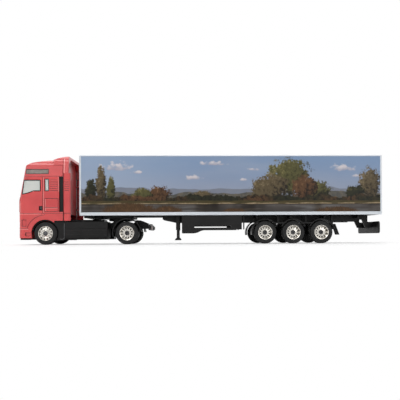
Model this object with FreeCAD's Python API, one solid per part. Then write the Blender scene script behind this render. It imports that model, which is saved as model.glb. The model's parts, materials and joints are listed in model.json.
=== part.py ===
import FreeCAD, Part
import math
import os

from FreeCAD import Vector

# A small plastic model of a two-axle tractor unit with a three-axle box semi-trailer.
# Millimetres. The nose points to -Y, the vehicle's left side to +X, and the wheels stand on Z = 0.
# Lengths along the vehicle are stations, counted back from the front bumper.

os.makedirs("parts", exist_ok=True)

# Cab
cab_width = 28.6
cab_length = 23.9
cab_wall = 0.8
cab_top = 44.1
bumper_bottom = 3.5
bumper_joint_height = 16.2
roof_joint_height = 35.3
front_bow_radius = 72.0
cab_corner_radius = 2.7
lean_start_height = 23.0
lean_slope = 0.19
brow_height = 38.2
form_run_on = 3.3
brow_middle_station = 4.3
brow_end_station = 8.0
brow_middle_rise = 1.95
brow_end_drop = 1.65
crown_station = 15.0
crown_drop = 0.55
roof_edge_radius = 3.5
roof_lean = 0.7
panel_groove = 0.16
panel_groove_depth = 0.2

# Windows, as heights and stations
windscreen_sill = 25.9
windscreen_head = 34.2
windscreen_half_width = 11.5
window_corner = 0.5
windscreen_corner = 1.0
door_window_head = 33.5
door_window_front = 3.3
door_window_rear = 12.6
door_window_sill = 27.6
rear_window_front = 14.6
rear_window_rear = 16.9
upper_window_front = 5.0
upper_window_rear = 16.7
upper_window_sill = 36.5
upper_window_head = 39.0
pane_thickness = 0.5
pane_inset = 0.14
pane_clearance = 0.04

# Doors, hatch and ribs
door_rear = 13.7
hatch_front = 14.7
hatch_rear_gap = 2.4
hatch_bottom = 17.1
hatch_top = 23.8
hatch_line = 19.2
handle_front = 11.7
handle_rear = 13.5
handle_bottom = 17.7
handle_top = 20.0
handle_depth = 0.45
rib_bottom = 27.9
rib_pitch = 1.1
rib_count = 5
rib_front = 17.5
rib_rear_gap = 2.3
side_intake_length = 1.9
side_intake_bottom = 16.9
side_intake_top = 35.1
side_intake_recess = 0.35
floor_front = 4.2
floor_thickness = 0.9
seat_inner = 4.2
seat_outer = 11.0
seat_setback = 12.4
seat_base_rise = 3.8
seat_back_height = 8.5
bunk_depth = 5.3
bunk_height = 6.2
dashboard_front = 3.6
dashboard_rise = 6.7
steering_wheel_station = 8.6
steering_wheel_rise = 7.4
steering_wheel_radius = 2.4
steering_wheel_side_count = 12

# Grille, lower intake, headlamps and the steps in the bumper's sides
grille_half = 9.6
grille_bottom = 17.4
grille_top = 23.6
grille_corner = 0.6
grille_frame = 0.5
grille_inset = 0.2
grille_thickness = 0.6
grille_slats = 4
intake_half = 6.6
intake_bottom = 4.9
intake_top = 7.9
intake_slats = 2
lamp_inner = 8.2
lamp_outer = 13.2
lamp_bottom = 8.9
lamp_top = 12.0
upper_step = (2.9, 5.3, 9.4, 13.1)
lower_step = (4.6, 8.2, 4.5, 6.4)
step_depth = 0.45

# Wheels
tyre_diameter = 11.8
rim_diameter = 7.6
rim_setback = 0.3
front_rim_dish = 0.35
rear_rim_dish = 1.6
hub_diameter = 2.6
hub_height = 0.8
front_tyre_width = 3.7
twin_tyre_width = 3.3
twin_gap = 0.8
trailer_tyre_width = 4.2
wheel_outer_face = 13.8
axle_diameter = 1.6
axle_clearance = 0.05
seat_clearance = 0.02
arch_gap = 1.2
front_axle_station = 14.8
drive_axle_station = 56.5
trailer_rear_overhang = 31.6
trailer_axle_pitch = 14.8
trailer_axle_count = 3

# Tractor chassis and what hangs on it
rail_outer = 5.2
rail_thickness = 1.2
rail_bottom = 8.3
rail_top = 11.0
axle_block_half_length = 1.9
axle_block_depth = 1.5
chassis_front = 2.2
chassis_overhang = 12.1
chassis_cover_top = 13.2
chassis_cover_gap_front = 1.1
chassis_cover_gap_rear = 2.0
side_tank_gap_front = 2.8
side_tank_gap_rear = 9.9
side_tank_top = 11.8
side_tank_bottom = 2.6
side_tank_outer = 14.1
mudguard_thickness = 0.5
mudguard_gap = 1.2
deflector_gap = 0.1
deflector_length = 3.7
deflector_thickness = 1.0
deflector_bottom = 12.4
deflector_top = 36.9
deflector_rounding = 0.5
spoiler_overlap = 4.9
spoiler_cap_length = 2.8
spoiler_rise = 2.0
tail_lamp_height = 1.7
tail_lamp_inner = 8.6
tail_lamp_outer = 12.2
tail_lamp_bottom = 7.9
tail_lamp_thickness = 0.6
front_beam_half_width = 10.6
tail_beam_half_width = 12.4

# Coupling
fifth_wheel_height = 13.6
fifth_wheel_thickness = 1.1
fifth_wheel_radius = 5.4
kingpin_diameter = 2.0
kingpin_clearance = 0.05
coupling_gap = 0.06
kingpin_setback = 18.4

# Trailer
trailer_front = 32.1
trailer_box_length = 157.6
trailer_width = 29.3
trailer_floor_height = 15.0
trailer_top = 46.2
trailer_wall = 1.0
trailer_corner = 1.2
trailer_edge = 0.5
picture_thickness = 0.15
picture_bottom = 16.6
picture_top = 45.5
picture_margin_rear = 0.8
door_panel_thickness = 0.9
door_gap = 0.16
lock_bar_diameter = 0.5
lock_bar_proud = 0.4
lock_bar_places = (2.6, 11.0)
lock_guide_heights = (18.5, 30.0, 41.5)
frame_rail_outer = 6.2
frame_rail_thickness = 1.2
frame_depth = 3.5
gooseneck_length = 7.4
gooseneck_lead = 0.8
gooseneck_step_height = 13.1
gooseneck_thickness = 0.4
frame_rear_gap = 4.2
leg_setback = 50.7
cross_member_pitch = 18.0
cross_member_lead = 4.5
cross_member_length = 0.9
cross_member_depth = 1.7
leg_half_spread = 9.6
leg_thickness = 1.9
foot_clearance = 2.0
guard_gap = 2.2
guard_rear_gap = 12.3
guard_deep_share = 0.2083
guard_slope_share = 0.1923
guard_depth = 9.3
guard_rail_depth = 7.5
slot_height = 1.1
slot_drop = 5.4
slot_rear_share = 0.1795
guard_outer = 13.9
guard_thickness = 2.4
bumper_bar_gap = 2.7
bumper_bar_thickness = 0.8
bumper_bar_bottom = 5.2
bumper_bar_top = 11.5
bumper_bar_half_width = 13.7

# Worked out
overall_length = trailer_front + trailer_box_length + lock_bar_proud
form_rear = cab_length + form_run_on
form_top = cab_top + 2.0
half_cab = cab_width / 2
hatch_rear = cab_length - hatch_rear_gap
rib_rear = cab_length - rib_rear_gap
side_intake_front = cab_length - side_intake_length
half_trailer = trailer_width / 2
wheel_radius = tyre_diameter / 2
arch_radius = wheel_radius + arch_gap
kingpin_station = trailer_front + kingpin_setback
trailer_rear = trailer_front + trailer_box_length
lead_front = cab_length + deflector_gap
lead_rear = lead_front + deflector_length
side_tank_front = front_axle_station + arch_radius + side_tank_gap_front
side_tank_rear = drive_axle_station - side_tank_gap_rear
spoiler_front = cab_length - spoiler_overlap
spoiler_rear = lead_front + spoiler_cap_length
spoiler_top = cab_top + spoiler_rise
chassis_rear = drive_axle_station + chassis_overhang
last_axle_station = trailer_rear - trailer_rear_overhang
trailer_axle_station = last_axle_station - (trailer_axle_count - 1) * trailer_axle_pitch
leg_station = trailer_front + leg_setback
gooseneck_end = leg_station - gooseneck_lead
gooseneck_start = gooseneck_end - gooseneck_length
frame_rear = trailer_rear - frame_rear_gap
guard_front = leg_station + guard_gap
guard_rear = trailer_axle_station - guard_rear_gap
bumper_bar_station = frame_rear + bumper_bar_gap
BIG = 400.0


def along(station):
    """The Y coordinate of a station."""
    return station - overall_length / 2


def block(x0, x1, s0, s1, z0, z1):
    """A plain block between two corners."""
    return Part.makeBox(x1 - x0, s1 - s0, z1 - z0, Vector(x0, along(s0), z0))


def bar_across(x0, x1, station, height, radius):
    """A round bar across the vehicle."""
    return Part.makeCylinder(radius, x1 - x0, Vector(x0, along(station), height), Vector(1, 0, 0))


def post(x, station, z0, z1, radius):
    """A round upright post."""
    return Part.makeCylinder(radius, z1 - z0, Vector(x, along(station), z0), Vector(0, 0, 1))


def outline(path, place):
    """A flat face round a path of points, where a pair of points is an arc through the first."""
    here = place(*path[0])
    first = here
    edges = []
    for step in path[1:]:
        if isinstance(step[0], tuple):
            middle, end = place(*step[0]), place(*step[1])
            edges.append(Part.Arc(here, middle, end).toShape())
        else:
            end = place(*step)
            edges.append(Part.LineSegment(here, end).toShape())
        here = end
    if here.distanceToPoint(first) > 1e-6:
        edges.append(Part.LineSegment(here, first).toShape())
    return Part.Face(Part.Wire(edges))


def side_prism(path, x0, x1):
    """A side outline of (station, height), carried across from x0 to x1."""
    face = outline(path, lambda s, z: Vector(x0, along(s), z))
    return face.extrude(Vector(x1 - x0, 0, 0))


def front_prism(path, s0, s1):
    """A front outline of (x, height), carried back from station s0 to s1."""
    face = outline(path, lambda x, z: Vector(x, along(s0), z))
    return face.extrude(Vector(0, s1 - s0, 0))


def plan_prism(path, z0, z1):
    """A plan outline of (x, station), carried up from z0 to z1."""
    face = outline(path, lambda x, s: Vector(x, along(s), z0))
    return face.extrude(Vector(0, 0, z1 - z0))


def bevelled(shape, direction, size):
    """The shape with every straight edge along a direction bevelled."""
    edges = [edge for edge in shape.Edges if edge_runs(edge, direction)]
    return shape.makeChamfer(size, edges)


def edge_runs(edge, direction):
    """Whether an edge is straight and runs along a direction."""
    if edge.Curve.TypeId != "Part::GeomLine":
        return False
    return abs(edge.tangentAt(edge.FirstParameter).dot(direction)) > 0.999


def rectangle(a0, a1, b0, b1):
    """The four corners of a rectangle as a path."""
    return [(a0, b0), (a1, b0), (a1, b1), (a0, b1)]


def window_prism(path, shrink):
    """A side window's outline with cut corners, shrunk all round, carried right across the cab."""
    solid = bevelled(side_prism(path, 0, 2 * BIG), Vector(1, 0, 0), window_corner)
    end = [face for face in solid.Faces if face.BoundBox.XMax < 1e-4][0]
    end.translate(Vector(-BIG, 0, 0))
    if shrink:
        end = end.makeOffset2D(-shrink)
    return end.extrude(Vector(2 * BIG, 0, 0))


def mirrored(shape):
    """A shape and its mirror image on the other side, as one compound."""
    return Part.makeCompound([shape, mirror_image(shape)])


def mirror_image(shape):
    """A shape's mirror image on the other side."""
    return shape.mirror(Vector(0, 0, 0), Vector(1, 0, 0))


def joined(shapes):
    """Shapes fused to one solid, with split faces merged."""
    result = shapes[0].multiFuse(shapes[1:]) if len(shapes) > 1 else shapes[0]
    return result.removeSplitter()


def hollow_cylinder(x0, x1, station, height, inner, outer):
    """A ring about a line across the vehicle."""
    hole = bar_across(x0 - 1, x1 + 1, station, height, inner)
    return bar_across(x0, x1, station, height, outer).cut(hole)


def save(name, shape):
    """Write one node, as its bare solids."""
    solids = shape.Solids
    result = solids[0] if len(solids) == 1 else Part.makeCompound(solids)
    result.exportStep("parts/" + name + ".step")


# Cab form


def lean(height):
    """How far the front leans back at a height."""
    return max(0.0, height - lean_start_height) * lean_slope


def bow(x):
    """How far the bowed front falls back at a distance from the middle."""
    return front_bow_radius - math.sqrt(front_bow_radius ** 2 - x ** 2)


def cab_section(inset):
    """The plan outline of the cab: bowed front, round corners, straight sides that run on to the rear."""
    corner_x = half_cab - cab_corner_radius
    reach = math.sqrt((front_bow_radius - cab_corner_radius) ** 2 - corner_x ** 2)
    corner_s = front_bow_radius - reach
    slope = math.atan2(corner_x, reach)
    corner = cab_corner_radius - inset

    def on_corner(side, angle):
        return side * (corner_x + corner * math.sin(angle)), corner_s - corner * math.cos(angle)

    middle_angle = (slope + math.pi / 2) / 2
    side, rear = half_cab - inset, form_rear
    return [
        (-side, rear),
        on_corner(-1, math.pi / 2),
        (on_corner(-1, middle_angle), on_corner(-1, slope)),
        ((0.0, inset), on_corner(1, slope)),
        (on_corner(1, middle_angle), on_corner(1, math.pi / 2)),
        (side, rear),
    ]


def cavity_section(wall):
    """The plan outline of the inside, in flats that follow the bow and the corners."""
    side, rear = half_cab - wall, form_rear
    corner = half_cab - cab_corner_radius + 0.3
    front = [(x, bow(x) + wall) for x in (corner / 2, corner)]
    left = front + [(side, front[1][1] + side - corner), (side, rear)]
    right = [(-x, station) for x, station in reversed(left)]
    return left + right


def upright_form(section, inset):
    """A plan outline carried straight up, then mitred back to the lean of the front."""
    pivot = Vector(0, along(0), lean_start_height)
    across = Vector(1, 0, 0)
    lean_angle = math.degrees(math.atan(lean_slope))
    column = plan_prism(section, -form_top, 2 * form_top)
    leaning = column.copy()
    leaning.rotate(pivot, across, -lean_angle)
    below = block(-BIG / 2, BIG / 2, -BIG / 2, BIG / 2, -BIG / 2, lean_start_height)
    below.rotate(pivot, across, -lean_angle / 2)
    room = block(-BIG / 2, BIG / 2, -1, cab_length - inset, 0, form_top)
    return joined([column.common(below), leaning.cut(below)]).common(room)


def roof_side(flat):
    """The side outline under the roof: a round brow, then a gentle rise to the rear; flats if flat."""
    brow_middle = (brow_middle_station, brow_height + brow_middle_rise)
    brow = (brow_middle, (brow_end_station, cab_top - brow_end_drop))
    crown = ((crown_station, cab_top - crown_drop), (form_rear, cab_top))
    path = [(-10.0, -1.0), (-10.0, brow_height), (lean(brow_height), brow_height)]
    path += [*brow, *crown] if flat else [brow, crown]
    path.append((form_rear, -1.0))
    return outline(path, lambda s, z: Vector(-BIG, along(s), z))


def roof_front(inset, flat):
    """The front outline: upright sides, a slight lean above the roof joint and round or flat top edges."""
    half = half_cab - inset
    top = cab_top - inset
    upper = half - roof_lean
    low = top - roof_edge_radius
    level = upper - roof_edge_radius
    bulge = 0.29 * roof_edge_radius
    high = cab_top + 1.0 - inset
    left = ((upper - bulge, top - bulge), (level, top))
    right = ((-upper + bulge, top - bulge), (-upper, low))
    path = [(-half, -1.0), (half, -1.0), (half, roof_joint_height), (upper, low)]
    path += [*left] if flat else [left]
    path += [(level, high), (-level, high), (-level, top)]
    path += [*right] if flat else [right]
    path.append((-half, roof_joint_height))
    return front_prism(path, -BIG / 2, BIG / 2)


def cab_form(inset):
    """The cab's whole outer form, from below the bumper to the roof, moved inwards by an inset."""
    side = roof_side(False)
    if inset:
        side = side.makeOffset2D(-inset)
    body = upright_form(cab_section(inset), inset)
    return body.common(side.extrude(Vector(2 * BIG, 0, 0))).common(roof_front(inset, False))


def cab_cavity(wall):
    """The inside of the cab behind a wall, all in flats."""
    side = roof_side(True).makeOffset2D(-wall)
    body = upright_form(cavity_section(wall), wall)
    return body.common(side.extrude(Vector(2 * BIG, 0, 0))).common(roof_front(wall, True))


cab_outside = cab_form(0.0)
cab_inside = cab_cavity(cab_wall)


def layer(bottom, top):
    """A slab of space between two heights."""
    return block(-BIG / 4, BIG / 4, -BIG / 4, BIG / 4 + overall_length, bottom, top)


def cab_skin(outer, inner):
    """The layer of the cab's wall between two insets."""
    return cab_form(outer).cut(cab_form(inner))


def windscreen_prism(shrink):
    half = windscreen_half_width - shrink
    path = rectangle(-half, half, windscreen_sill + shrink, windscreen_head - shrink)
    return bevelled(front_prism(path, -5.0, 5.5), Vector(0, 1, 0), windscreen_corner)


door_window = [
    (door_window_front - 0.5, 25.9),
    (door_window_front + 0.6, door_window_head),
    (door_window_rear, door_window_head),
    (door_window_rear, door_window_sill),
    (8.9, door_window_sill),
    (6.6, 26.7),
]
rear_window = rectangle(rear_window_front, rear_window_rear, door_window_sill, door_window_head + 0.5)
upper_window = rectangle(upper_window_front, upper_window_rear, upper_window_sill, upper_window_head)


def side_line(s0, s1, z0, z1):
    """A straight groove on both sides of the cab."""
    cut = block(half_cab - panel_groove_depth, half_cab + 1, s0, s1, z0, z1)
    return [cut, mirror_image(cut)]


def panel_lines():
    """Grooves round the doors and the locker hatches, and the row of fine ribs behind the windows."""
    cuts = []
    half_groove = panel_groove / 2
    low, high = bumper_joint_height + 0.2, roof_joint_height - 0.4
    cuts += side_line(door_rear - half_groove, door_rear + half_groove, low, high)
    for height in (hatch_bottom, hatch_line, hatch_top):
        cuts += side_line(hatch_front, hatch_rear, height - half_groove, height + half_groove)
    for station in (hatch_front, hatch_rear):
        cuts += side_line(station - half_groove, station + half_groove, hatch_bottom, hatch_top)
    for rib in range(rib_count):
        height = rib_bottom + rib * rib_pitch
        cuts += side_line(rib_front, rib_rear, height - half_groove, height + half_groove)
    return cuts


def grille_prism(half, bottom, top):
    prism = front_prism(rectangle(-half, half, bottom, top), -5.0, 4.0)
    return bevelled(prism, Vector(0, 1, 0), grille_corner)


def lamp_prism(shrink):
    """The headlamp's outline in the bumper, on the left side, slanted at its inner end."""
    path = [
        (lamp_inner + 0.8 + shrink, lamp_bottom + shrink),
        (lamp_outer - shrink, lamp_bottom + 0.3 + shrink),
        (lamp_outer - shrink, lamp_top - shrink),
        (lamp_inner + shrink, lamp_top - shrink),
    ]
    return front_prism(path, -5.0, 3.2)


def side_intake_block(shrink, outer, rear):
    """An upright block at the left rear corner of the cab, out to an x and back to a station."""
    inner, front = half_cab - cab_wall + shrink, side_intake_front + shrink
    return block(inner, outer, front, rear, side_intake_bottom + shrink, side_intake_top - shrink)


def build_cab_shell():
    ring = cab_outside.cut(cab_inside).common(layer(bumper_joint_height, roof_joint_height))
    cuts = [windscreen_prism(0.0), window_prism(door_window, 0.0), window_prism(rear_window, 0.0)]
    cuts.append(grille_prism(grille_half, grille_bottom, grille_top))
    cuts += panel_lines()
    pocket = block(
        half_cab - handle_depth, half_cab + 1, handle_front, handle_rear, handle_bottom, handle_top
    )
    notch = side_intake_block(0.0, half_cab + 1, cab_length + 1)
    return ring.cut(cuts + [pocket, mirror_image(pocket), notch, mirror_image(notch)])


def build_high_roof():
    shell = cab_outside.cut(cab_inside).common(layer(roof_joint_height, cab_top + 5))
    return shell.cut(window_prism(upper_window, 0.0))


def build_glazing():
    """Clear panes in the windscreen and in the four side windows."""
    skin = cab_skin(pane_inset, pane_inset + pane_thickness)
    panes = [skin.common(windscreen_prism(pane_clearance))]
    for path in (door_window, rear_window):
        band = skin.common(window_prism(path, pane_clearance))
        panes += band.Solids
    return Part.makeCompound(panes)


def build_upper_windows():
    skin = cab_skin(pane_inset, pane_inset + pane_thickness)
    return skin.common(window_prism(upper_window, pane_clearance))


def build_air_intakes():
    """The upright air intakes at the rear corners of the cab, each with a bevelled outer edge."""
    intake = side_intake_block(pane_clearance, half_cab - side_intake_recess, cab_length)
    return mirrored(intake.makeChamfer(0.3, [edge for edge in intake.Edges if outer_edge(edge)]))


def outer_edge(edge):
    """The upright edge between the outside and the front of the left air intake."""
    box = edge.BoundBox
    if not edge_runs(edge, Vector(0, 0, 1)):
        return False
    return box.XMin > half_cab - side_intake_recess - 1e-3 and box.YMax < along(side_intake_front) + 0.1


def build_front_bumper():
    """Bumper and lower side panels in one piece, with the wheel arches, steps and lamp openings."""
    ring = cab_outside.cut(cab_inside).common(layer(bumper_bottom, bumper_joint_height))
    open_rear = block(-half_cab + cab_wall, half_cab - cab_wall, 8.0, cab_length + 1, 0, 30)
    arch = bar_across(-BIG / 2, BIG / 2, front_axle_station, wheel_radius, arch_radius)
    behind = block(-BIG / 2, BIG / 2, front_axle_station + 4.6, BIG / 2, 0, deflector_bottom)
    under = block(-BIG / 2, BIG / 2, front_axle_station, front_axle_station + 7, 0, wheel_radius + 4)
    cuts = [open_rear, arch, behind, under]
    cuts += [lamp_prism(0.0), mirror_image(lamp_prism(0.0))]
    cuts += [grille_prism(intake_half, intake_bottom, intake_top)]
    for s0, s1, z0, z1 in (upper_step, lower_step):
        step = block(half_cab - step_depth, half_cab + 1, s0, s1, z0, z1)
        step = bevelled(step, Vector(1, 0, 0), window_corner / 2)
        cuts += [step, mirror_image(step)]
    return ring.cut(cuts)


def bowed_bar(half, front, back, bottom, top):
    """A bar across the front whose face follows the bow in four flats, with a straight back."""
    across = [half * share for share in (-1.0, -0.5, 0.0, 0.5, 1.0)]
    path = [(x, bow(x) + front) for x in across]
    path += [(half, bow(half) + back), (-half, bow(half) + back)]
    return plan_prism(path, bottom, top)


def build_grilles():
    """The slatted radiator grille and the lower intake, each a frame with slats across."""
    pieces = []
    for half, bottom, top, slats in (
        (grille_half, grille_bottom, grille_top, grille_slats),
        (intake_half, intake_bottom, intake_top, intake_slats),
    ):
        half, bottom, top = half - pane_clearance, bottom + pane_clearance, top - pane_clearance
        panel = bowed_bar(half, grille_inset, grille_inset + grille_thickness, bottom, top)
        panel = bevelled_corners(panel)
        opening = (top - bottom - grille_frame) / (slats + 1)
        for row in range(slats + 1):
            low = bottom + grille_frame + row * opening
            reach = half - grille_frame
            panel = panel.cut(block(-reach, reach, -5, 5, low, low + opening - grille_frame))
        pieces.append(panel)
    return Part.makeCompound(pieces)


def bevelled_corners(panel):
    """The grille panel without its four corners, as the opening has them."""
    edges = [edge for edge in panel.Edges if edge_runs(edge, Vector(0, 1, 0))]
    return panel.makeChamfer(grille_corner, edges)


def build_headlamps():
    skin = cab_skin(0.08, 0.7)
    return mirrored(skin.common(lamp_prism(pane_clearance)))


def build_front_lip():
    """The black edge of the chassis that shows under the bumper."""
    ring = cab_form(0.4).common(layer(bumper_bottom - 0.9, bumper_bottom))
    return ring.cut([cab_cavity(1.4), block(-BIG / 4, BIG / 4, 7.2, BIG / 4, 0, 30)])


def build_roof_deflector():
    """The air deflector on the roof: a rising wedge and a cap round the rear edge of the roof."""
    wedge = side_prism(
        [
            (spoiler_front, cab_top - 3.0),
            (spoiler_front, cab_top - 0.2),
            ((spoiler_front + 0.46 * (spoiler_rear - spoiler_front), spoiler_top - 0.8),
             (spoiler_rear - 0.5, spoiler_top)),
            (spoiler_rear, spoiler_top - 0.6),
            (spoiler_rear, deflector_top),
            (lead_front, deflector_top),
            (lead_front, cab_top - 3.0),
        ],
        -half_cab,
        half_cab,
    )
    shoulder = spoiler_top - 3.6
    hood = front_prism(
        [
            (-half_cab, 0.0),
            (half_cab, 0.0),
            (half_cab, deflector_top),
            (half_cab - 0.8, shoulder),
            ((half_cab - 1.7, spoiler_top - 1.2), (half_cab - 4.2, spoiler_top)),
            (-half_cab + 4.2, spoiler_top),
            ((-half_cab + 1.7, spoiler_top - 1.2), (-half_cab + 0.8, shoulder)),
            (-half_cab, deflector_top),
        ],
        0,
        BIG,
    )
    inner = half_cab - deflector_thickness
    core = front_prism(
        [
            (-inner, 0.0),
            (inner, 0.0),
            (inner - 0.8, shoulder - 1.0),
            (inner - 4.0, spoiler_top - 1.8),
            (-inner + 4.0, spoiler_top - 1.8),
            (-inner + 0.8, shoulder - 1.0),
        ],
        cab_length,
        BIG,
    )
    return wedge.common(hood).cut([core, cab_outside])


def build_side_deflectors():
    """The tall panels behind the cab, each on two arms from the cab's rear wall."""
    panel = block(
        half_cab - deflector_thickness, half_cab, lead_front, lead_rear, deflector_bottom, deflector_top
    )
    panel = panel.makeChamfer(deflector_rounding, [edge for edge in panel.Edges if outer_upright(edge)])
    cuts = []
    half_groove = panel_groove / 2
    heights = [rib_bottom + rib * rib_pitch for rib in range(rib_count)] + [bumper_joint_height]
    for height in heights:
        cuts.append(
            block(
                half_cab - panel_groove_depth,
                half_cab + 1,
                lead_front + deflector_rounding,
                lead_rear - deflector_rounding,
                height - half_groove,
                height + half_groove,
            )
        )
    arms = []
    for height in (19.0, 32.0):
        inner = half_cab - deflector_thickness
        arms.append(block(inner - 1.2, inner, cab_length, lead_front + 1.4, height, height + 1.0))
    return mirrored(joined([panel.cut(cuts)] + arms))


def outer_upright(edge):
    """The two upright edges on the outside of the left side deflector."""
    return edge_runs(edge, Vector(0, 0, 1)) and edge.BoundBox.XMin > half_cab - 1e-3


def build_door_handles():
    inner = half_cab - handle_depth
    gap = pane_clearance
    plate = block(
        inner, inner + 0.15, handle_front + gap, handle_rear - gap, handle_bottom + gap, handle_top - gap
    )
    grip = block(inner + 0.1, half_cab - 0.02, handle_front + 0.25, handle_rear - 0.25, 18.6, 19.2)
    return mirrored(joined([plate, grip]))


# Cab inside

floor_bottom = bumper_joint_height + 0.1
floor_top = floor_bottom + floor_thickness
seat_base_height = floor_top + seat_base_rise
seat_front = cab_length - seat_setback


def build_cab_floor():
    """The inner tray on which the seats stand, with the raised tunnel between them."""
    half = half_cab - cab_wall - 0.05
    tray = block(-half, half, floor_front, cab_length - cab_wall - 0.05, floor_bottom, floor_top)
    tunnel = front_prism(
        [(-3.6, floor_top), (-2.9, floor_top + 2.4), (2.9, floor_top + 2.4), (3.6, floor_top)],
        7.4,
        cab_length - bunk_depth - 0.2,
    )
    mounts = [block(x, x + 2.4, s, s + 2.4, rail_top, floor_bottom)
              for x in (-rail_outer, rail_outer - 2.4) for s in (5.0, cab_length - 5.1)]
    return joined([tray, tunnel] + mounts)


def build_seats():
    headrest = seat_base_height + seat_back_height
    profile = [
        (seat_front, floor_top),
        (seat_front, seat_base_height + 0.7),
        (seat_front + 0.5, seat_base_height + 1.2),
        (seat_front + 4.1, seat_base_height + 0.9),
        (seat_front + 5.1, headrest - 0.5),
        (seat_front + 5.5, headrest),
        (seat_front + 6.2, headrest - 0.1),
        (seat_front + 5.8, floor_top),
    ]
    return mirrored(side_prism(profile, seat_inner, seat_outer))


def build_bunk():
    """The sleeping bunk on its base, against the rear wall."""
    half = half_cab - cab_wall - 0.4
    rear = cab_length - cab_wall - 0.1
    front = cab_length - bunk_depth
    top = floor_top + bunk_height
    path = [
        (front + 0.6, floor_top),
        (front + 0.6, top - 3.0),
        (front, top - 3.0),
        (front, top - 0.3),
        (front + 0.3, top),
        (rear, top),
        (rear, floor_top),
    ]
    return side_prism(path, -half, half)


def build_dashboard():
    """The dashboard, a rounded shelf under the windscreen."""
    front = dashboard_front
    top = floor_top + dashboard_rise
    profile = [
        (front + 1.3, floor_top),
        (front + 1.3, top - 4.5),
        (front, top),
        ((front + 1.0, top + 1.0), (front + 2.3, top + 0.4)),
        (front + 3.4, top - 1.5),
        (front + 2.6, floor_top),
    ]
    board = side_prism(profile, -half_cab + 1.6, half_cab - 1.6)
    return board.common(cab_cavity(cab_wall + 0.15))


def build_steering_wheel():
    """The steering wheel on its column, in front of the left seat."""
    seat_middle = (seat_inner + seat_outer) / 2
    centre = Vector(seat_middle, along(steering_wheel_station), floor_top + steering_wheel_rise)
    outer, inner = steering_wheel_radius, steering_wheel_radius - 0.5
    side_count = steering_wheel_side_count

    def ring(radius):
        points = [
            Vector(radius * math.cos(turn), radius * math.sin(turn), 0)
            for turn in (2 * math.pi * n / side_count for n in range(side_count + 1))
        ]
        return Part.Face(Part.makePolygon(points)).extrude(Vector(0, 0, 0.5))

    wheel = ring(outer).cut(ring(inner))
    spoke = Part.makeBox(2 * inner + 0.4, 0.5, 0.4, Vector(-inner - 0.2, -0.25, 0.05))
    column = Part.makeBox(0.7, 0.7, 3.6, Vector(-0.35, -0.35, -3.4))
    whole = joined([wheel, spoke, column])
    whole.rotate(Vector(0, 0, 0), Vector(1, 0, 0), -30)
    whole.translate(centre)
    return whole.cut(build_dashboard())


# Tractor chassis


def rail_pair(outer, thickness, path):
    """The two side members of a frame with one side outline."""
    rail = side_prism(path, outer - thickness, outer)
    return [rail, mirror_image(rail)]


def axle_hole(station):
    return bar_across(-BIG / 2, BIG / 2, station, wheel_radius, axle_diameter / 2 + axle_clearance)


def bearer(half_width, station, top):
    """The block under a frame through which an axle runs, narrower towards the bottom."""
    side, bottom = axle_block_half_length, axle_block_depth
    path = [
        (station - side, top),
        (station - side, wheel_radius - bottom + 0.9),
        (station - side + 0.8, wheel_radius - bottom),
        (station + side - 0.8, wheel_radius - bottom),
        (station + side, wheel_radius - bottom + 0.9),
        (station + side, top),
    ]
    return side_prism(path, -half_width, half_width)


def build_chassis_frame():
    """Ladder frame with cross members, axle hangers, front beam, sloped tail and a raised cover."""
    path = [
        (chassis_front, rail_bottom),
        (chassis_front, rail_top - 0.6),
        (6.0, rail_top),
        (chassis_rear - 3.0, rail_top),
        (chassis_rear, rail_top - 1.2),
        (chassis_rear, rail_bottom),
    ]
    pieces = rail_pair(rail_outer, rail_thickness, path)
    inner = rail_outer - rail_thickness
    for station in (10.0, 30.0, 46.0, chassis_rear - 1.0):
        pieces.append(block(-inner, inner, station, station + 1.0, rail_bottom + 0.3, rail_top - 0.3))
    for station in (front_axle_station, drive_axle_station):
        pieces.append(bearer(rail_outer, station, rail_bottom + 0.2))
    half = front_beam_half_width
    beam = block(-half, half, chassis_front, chassis_front + 1.4, rail_bottom, rail_top - 0.6)
    half = tail_beam_half_width
    tail = block(-half, half, chassis_rear - 1.0, chassis_rear, rail_bottom - 0.9, rail_top - 0.8)
    half = rail_outer - 0.2
    cover_front = cab_length + chassis_cover_gap_front
    cover_rear = kingpin_station - fifth_wheel_radius - chassis_cover_gap_rear
    cover = bevelled(
        block(-half, half, cover_front, cover_rear, rail_top - 0.4, chassis_cover_top),
        Vector(0, 1, 0),
        0.5,
    )
    frame = joined(pieces + [beam, tail, cover])
    holes = [axle_hole(front_axle_station), axle_hole(drive_axle_station)]
    return frame.cut(holes)


def build_drive_case():
    """The round differential case behind the rear axle block, with the short nose in front."""

    def drum(station, radius, length):
        centre = Vector(0, along(station), wheel_radius)
        return Part.makeCylinder(radius, length, centre, Vector(0, 1, 0))

    rear_face = drive_axle_station + axle_block_half_length
    front_face = drive_axle_station - axle_block_half_length
    nose_length = 3.0
    return Part.makeCompound([drum(rear_face, 2.1, 1.7), drum(front_face - nose_length, 0.8, nose_length)])


def build_side_tanks():
    """The fairing and tank along each side between the axles, stepped along its outside."""
    outer = side_tank_outer
    path = [
        (rail_outer, side_tank_top),
        (outer - 0.5, side_tank_top),
        (outer - 0.5, 8.5),
        (outer, 8.2),
        (outer, 4.5),
        ((outer - 0.5, 3.1), (outer - 1.9, side_tank_bottom)),
        (rail_outer + 2.2, side_tank_bottom),
        ((rail_outer + 0.7, 3.2), (rail_outer, 4.8)),
    ]
    return mirrored(front_prism(path, side_tank_front, side_tank_rear))


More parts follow.
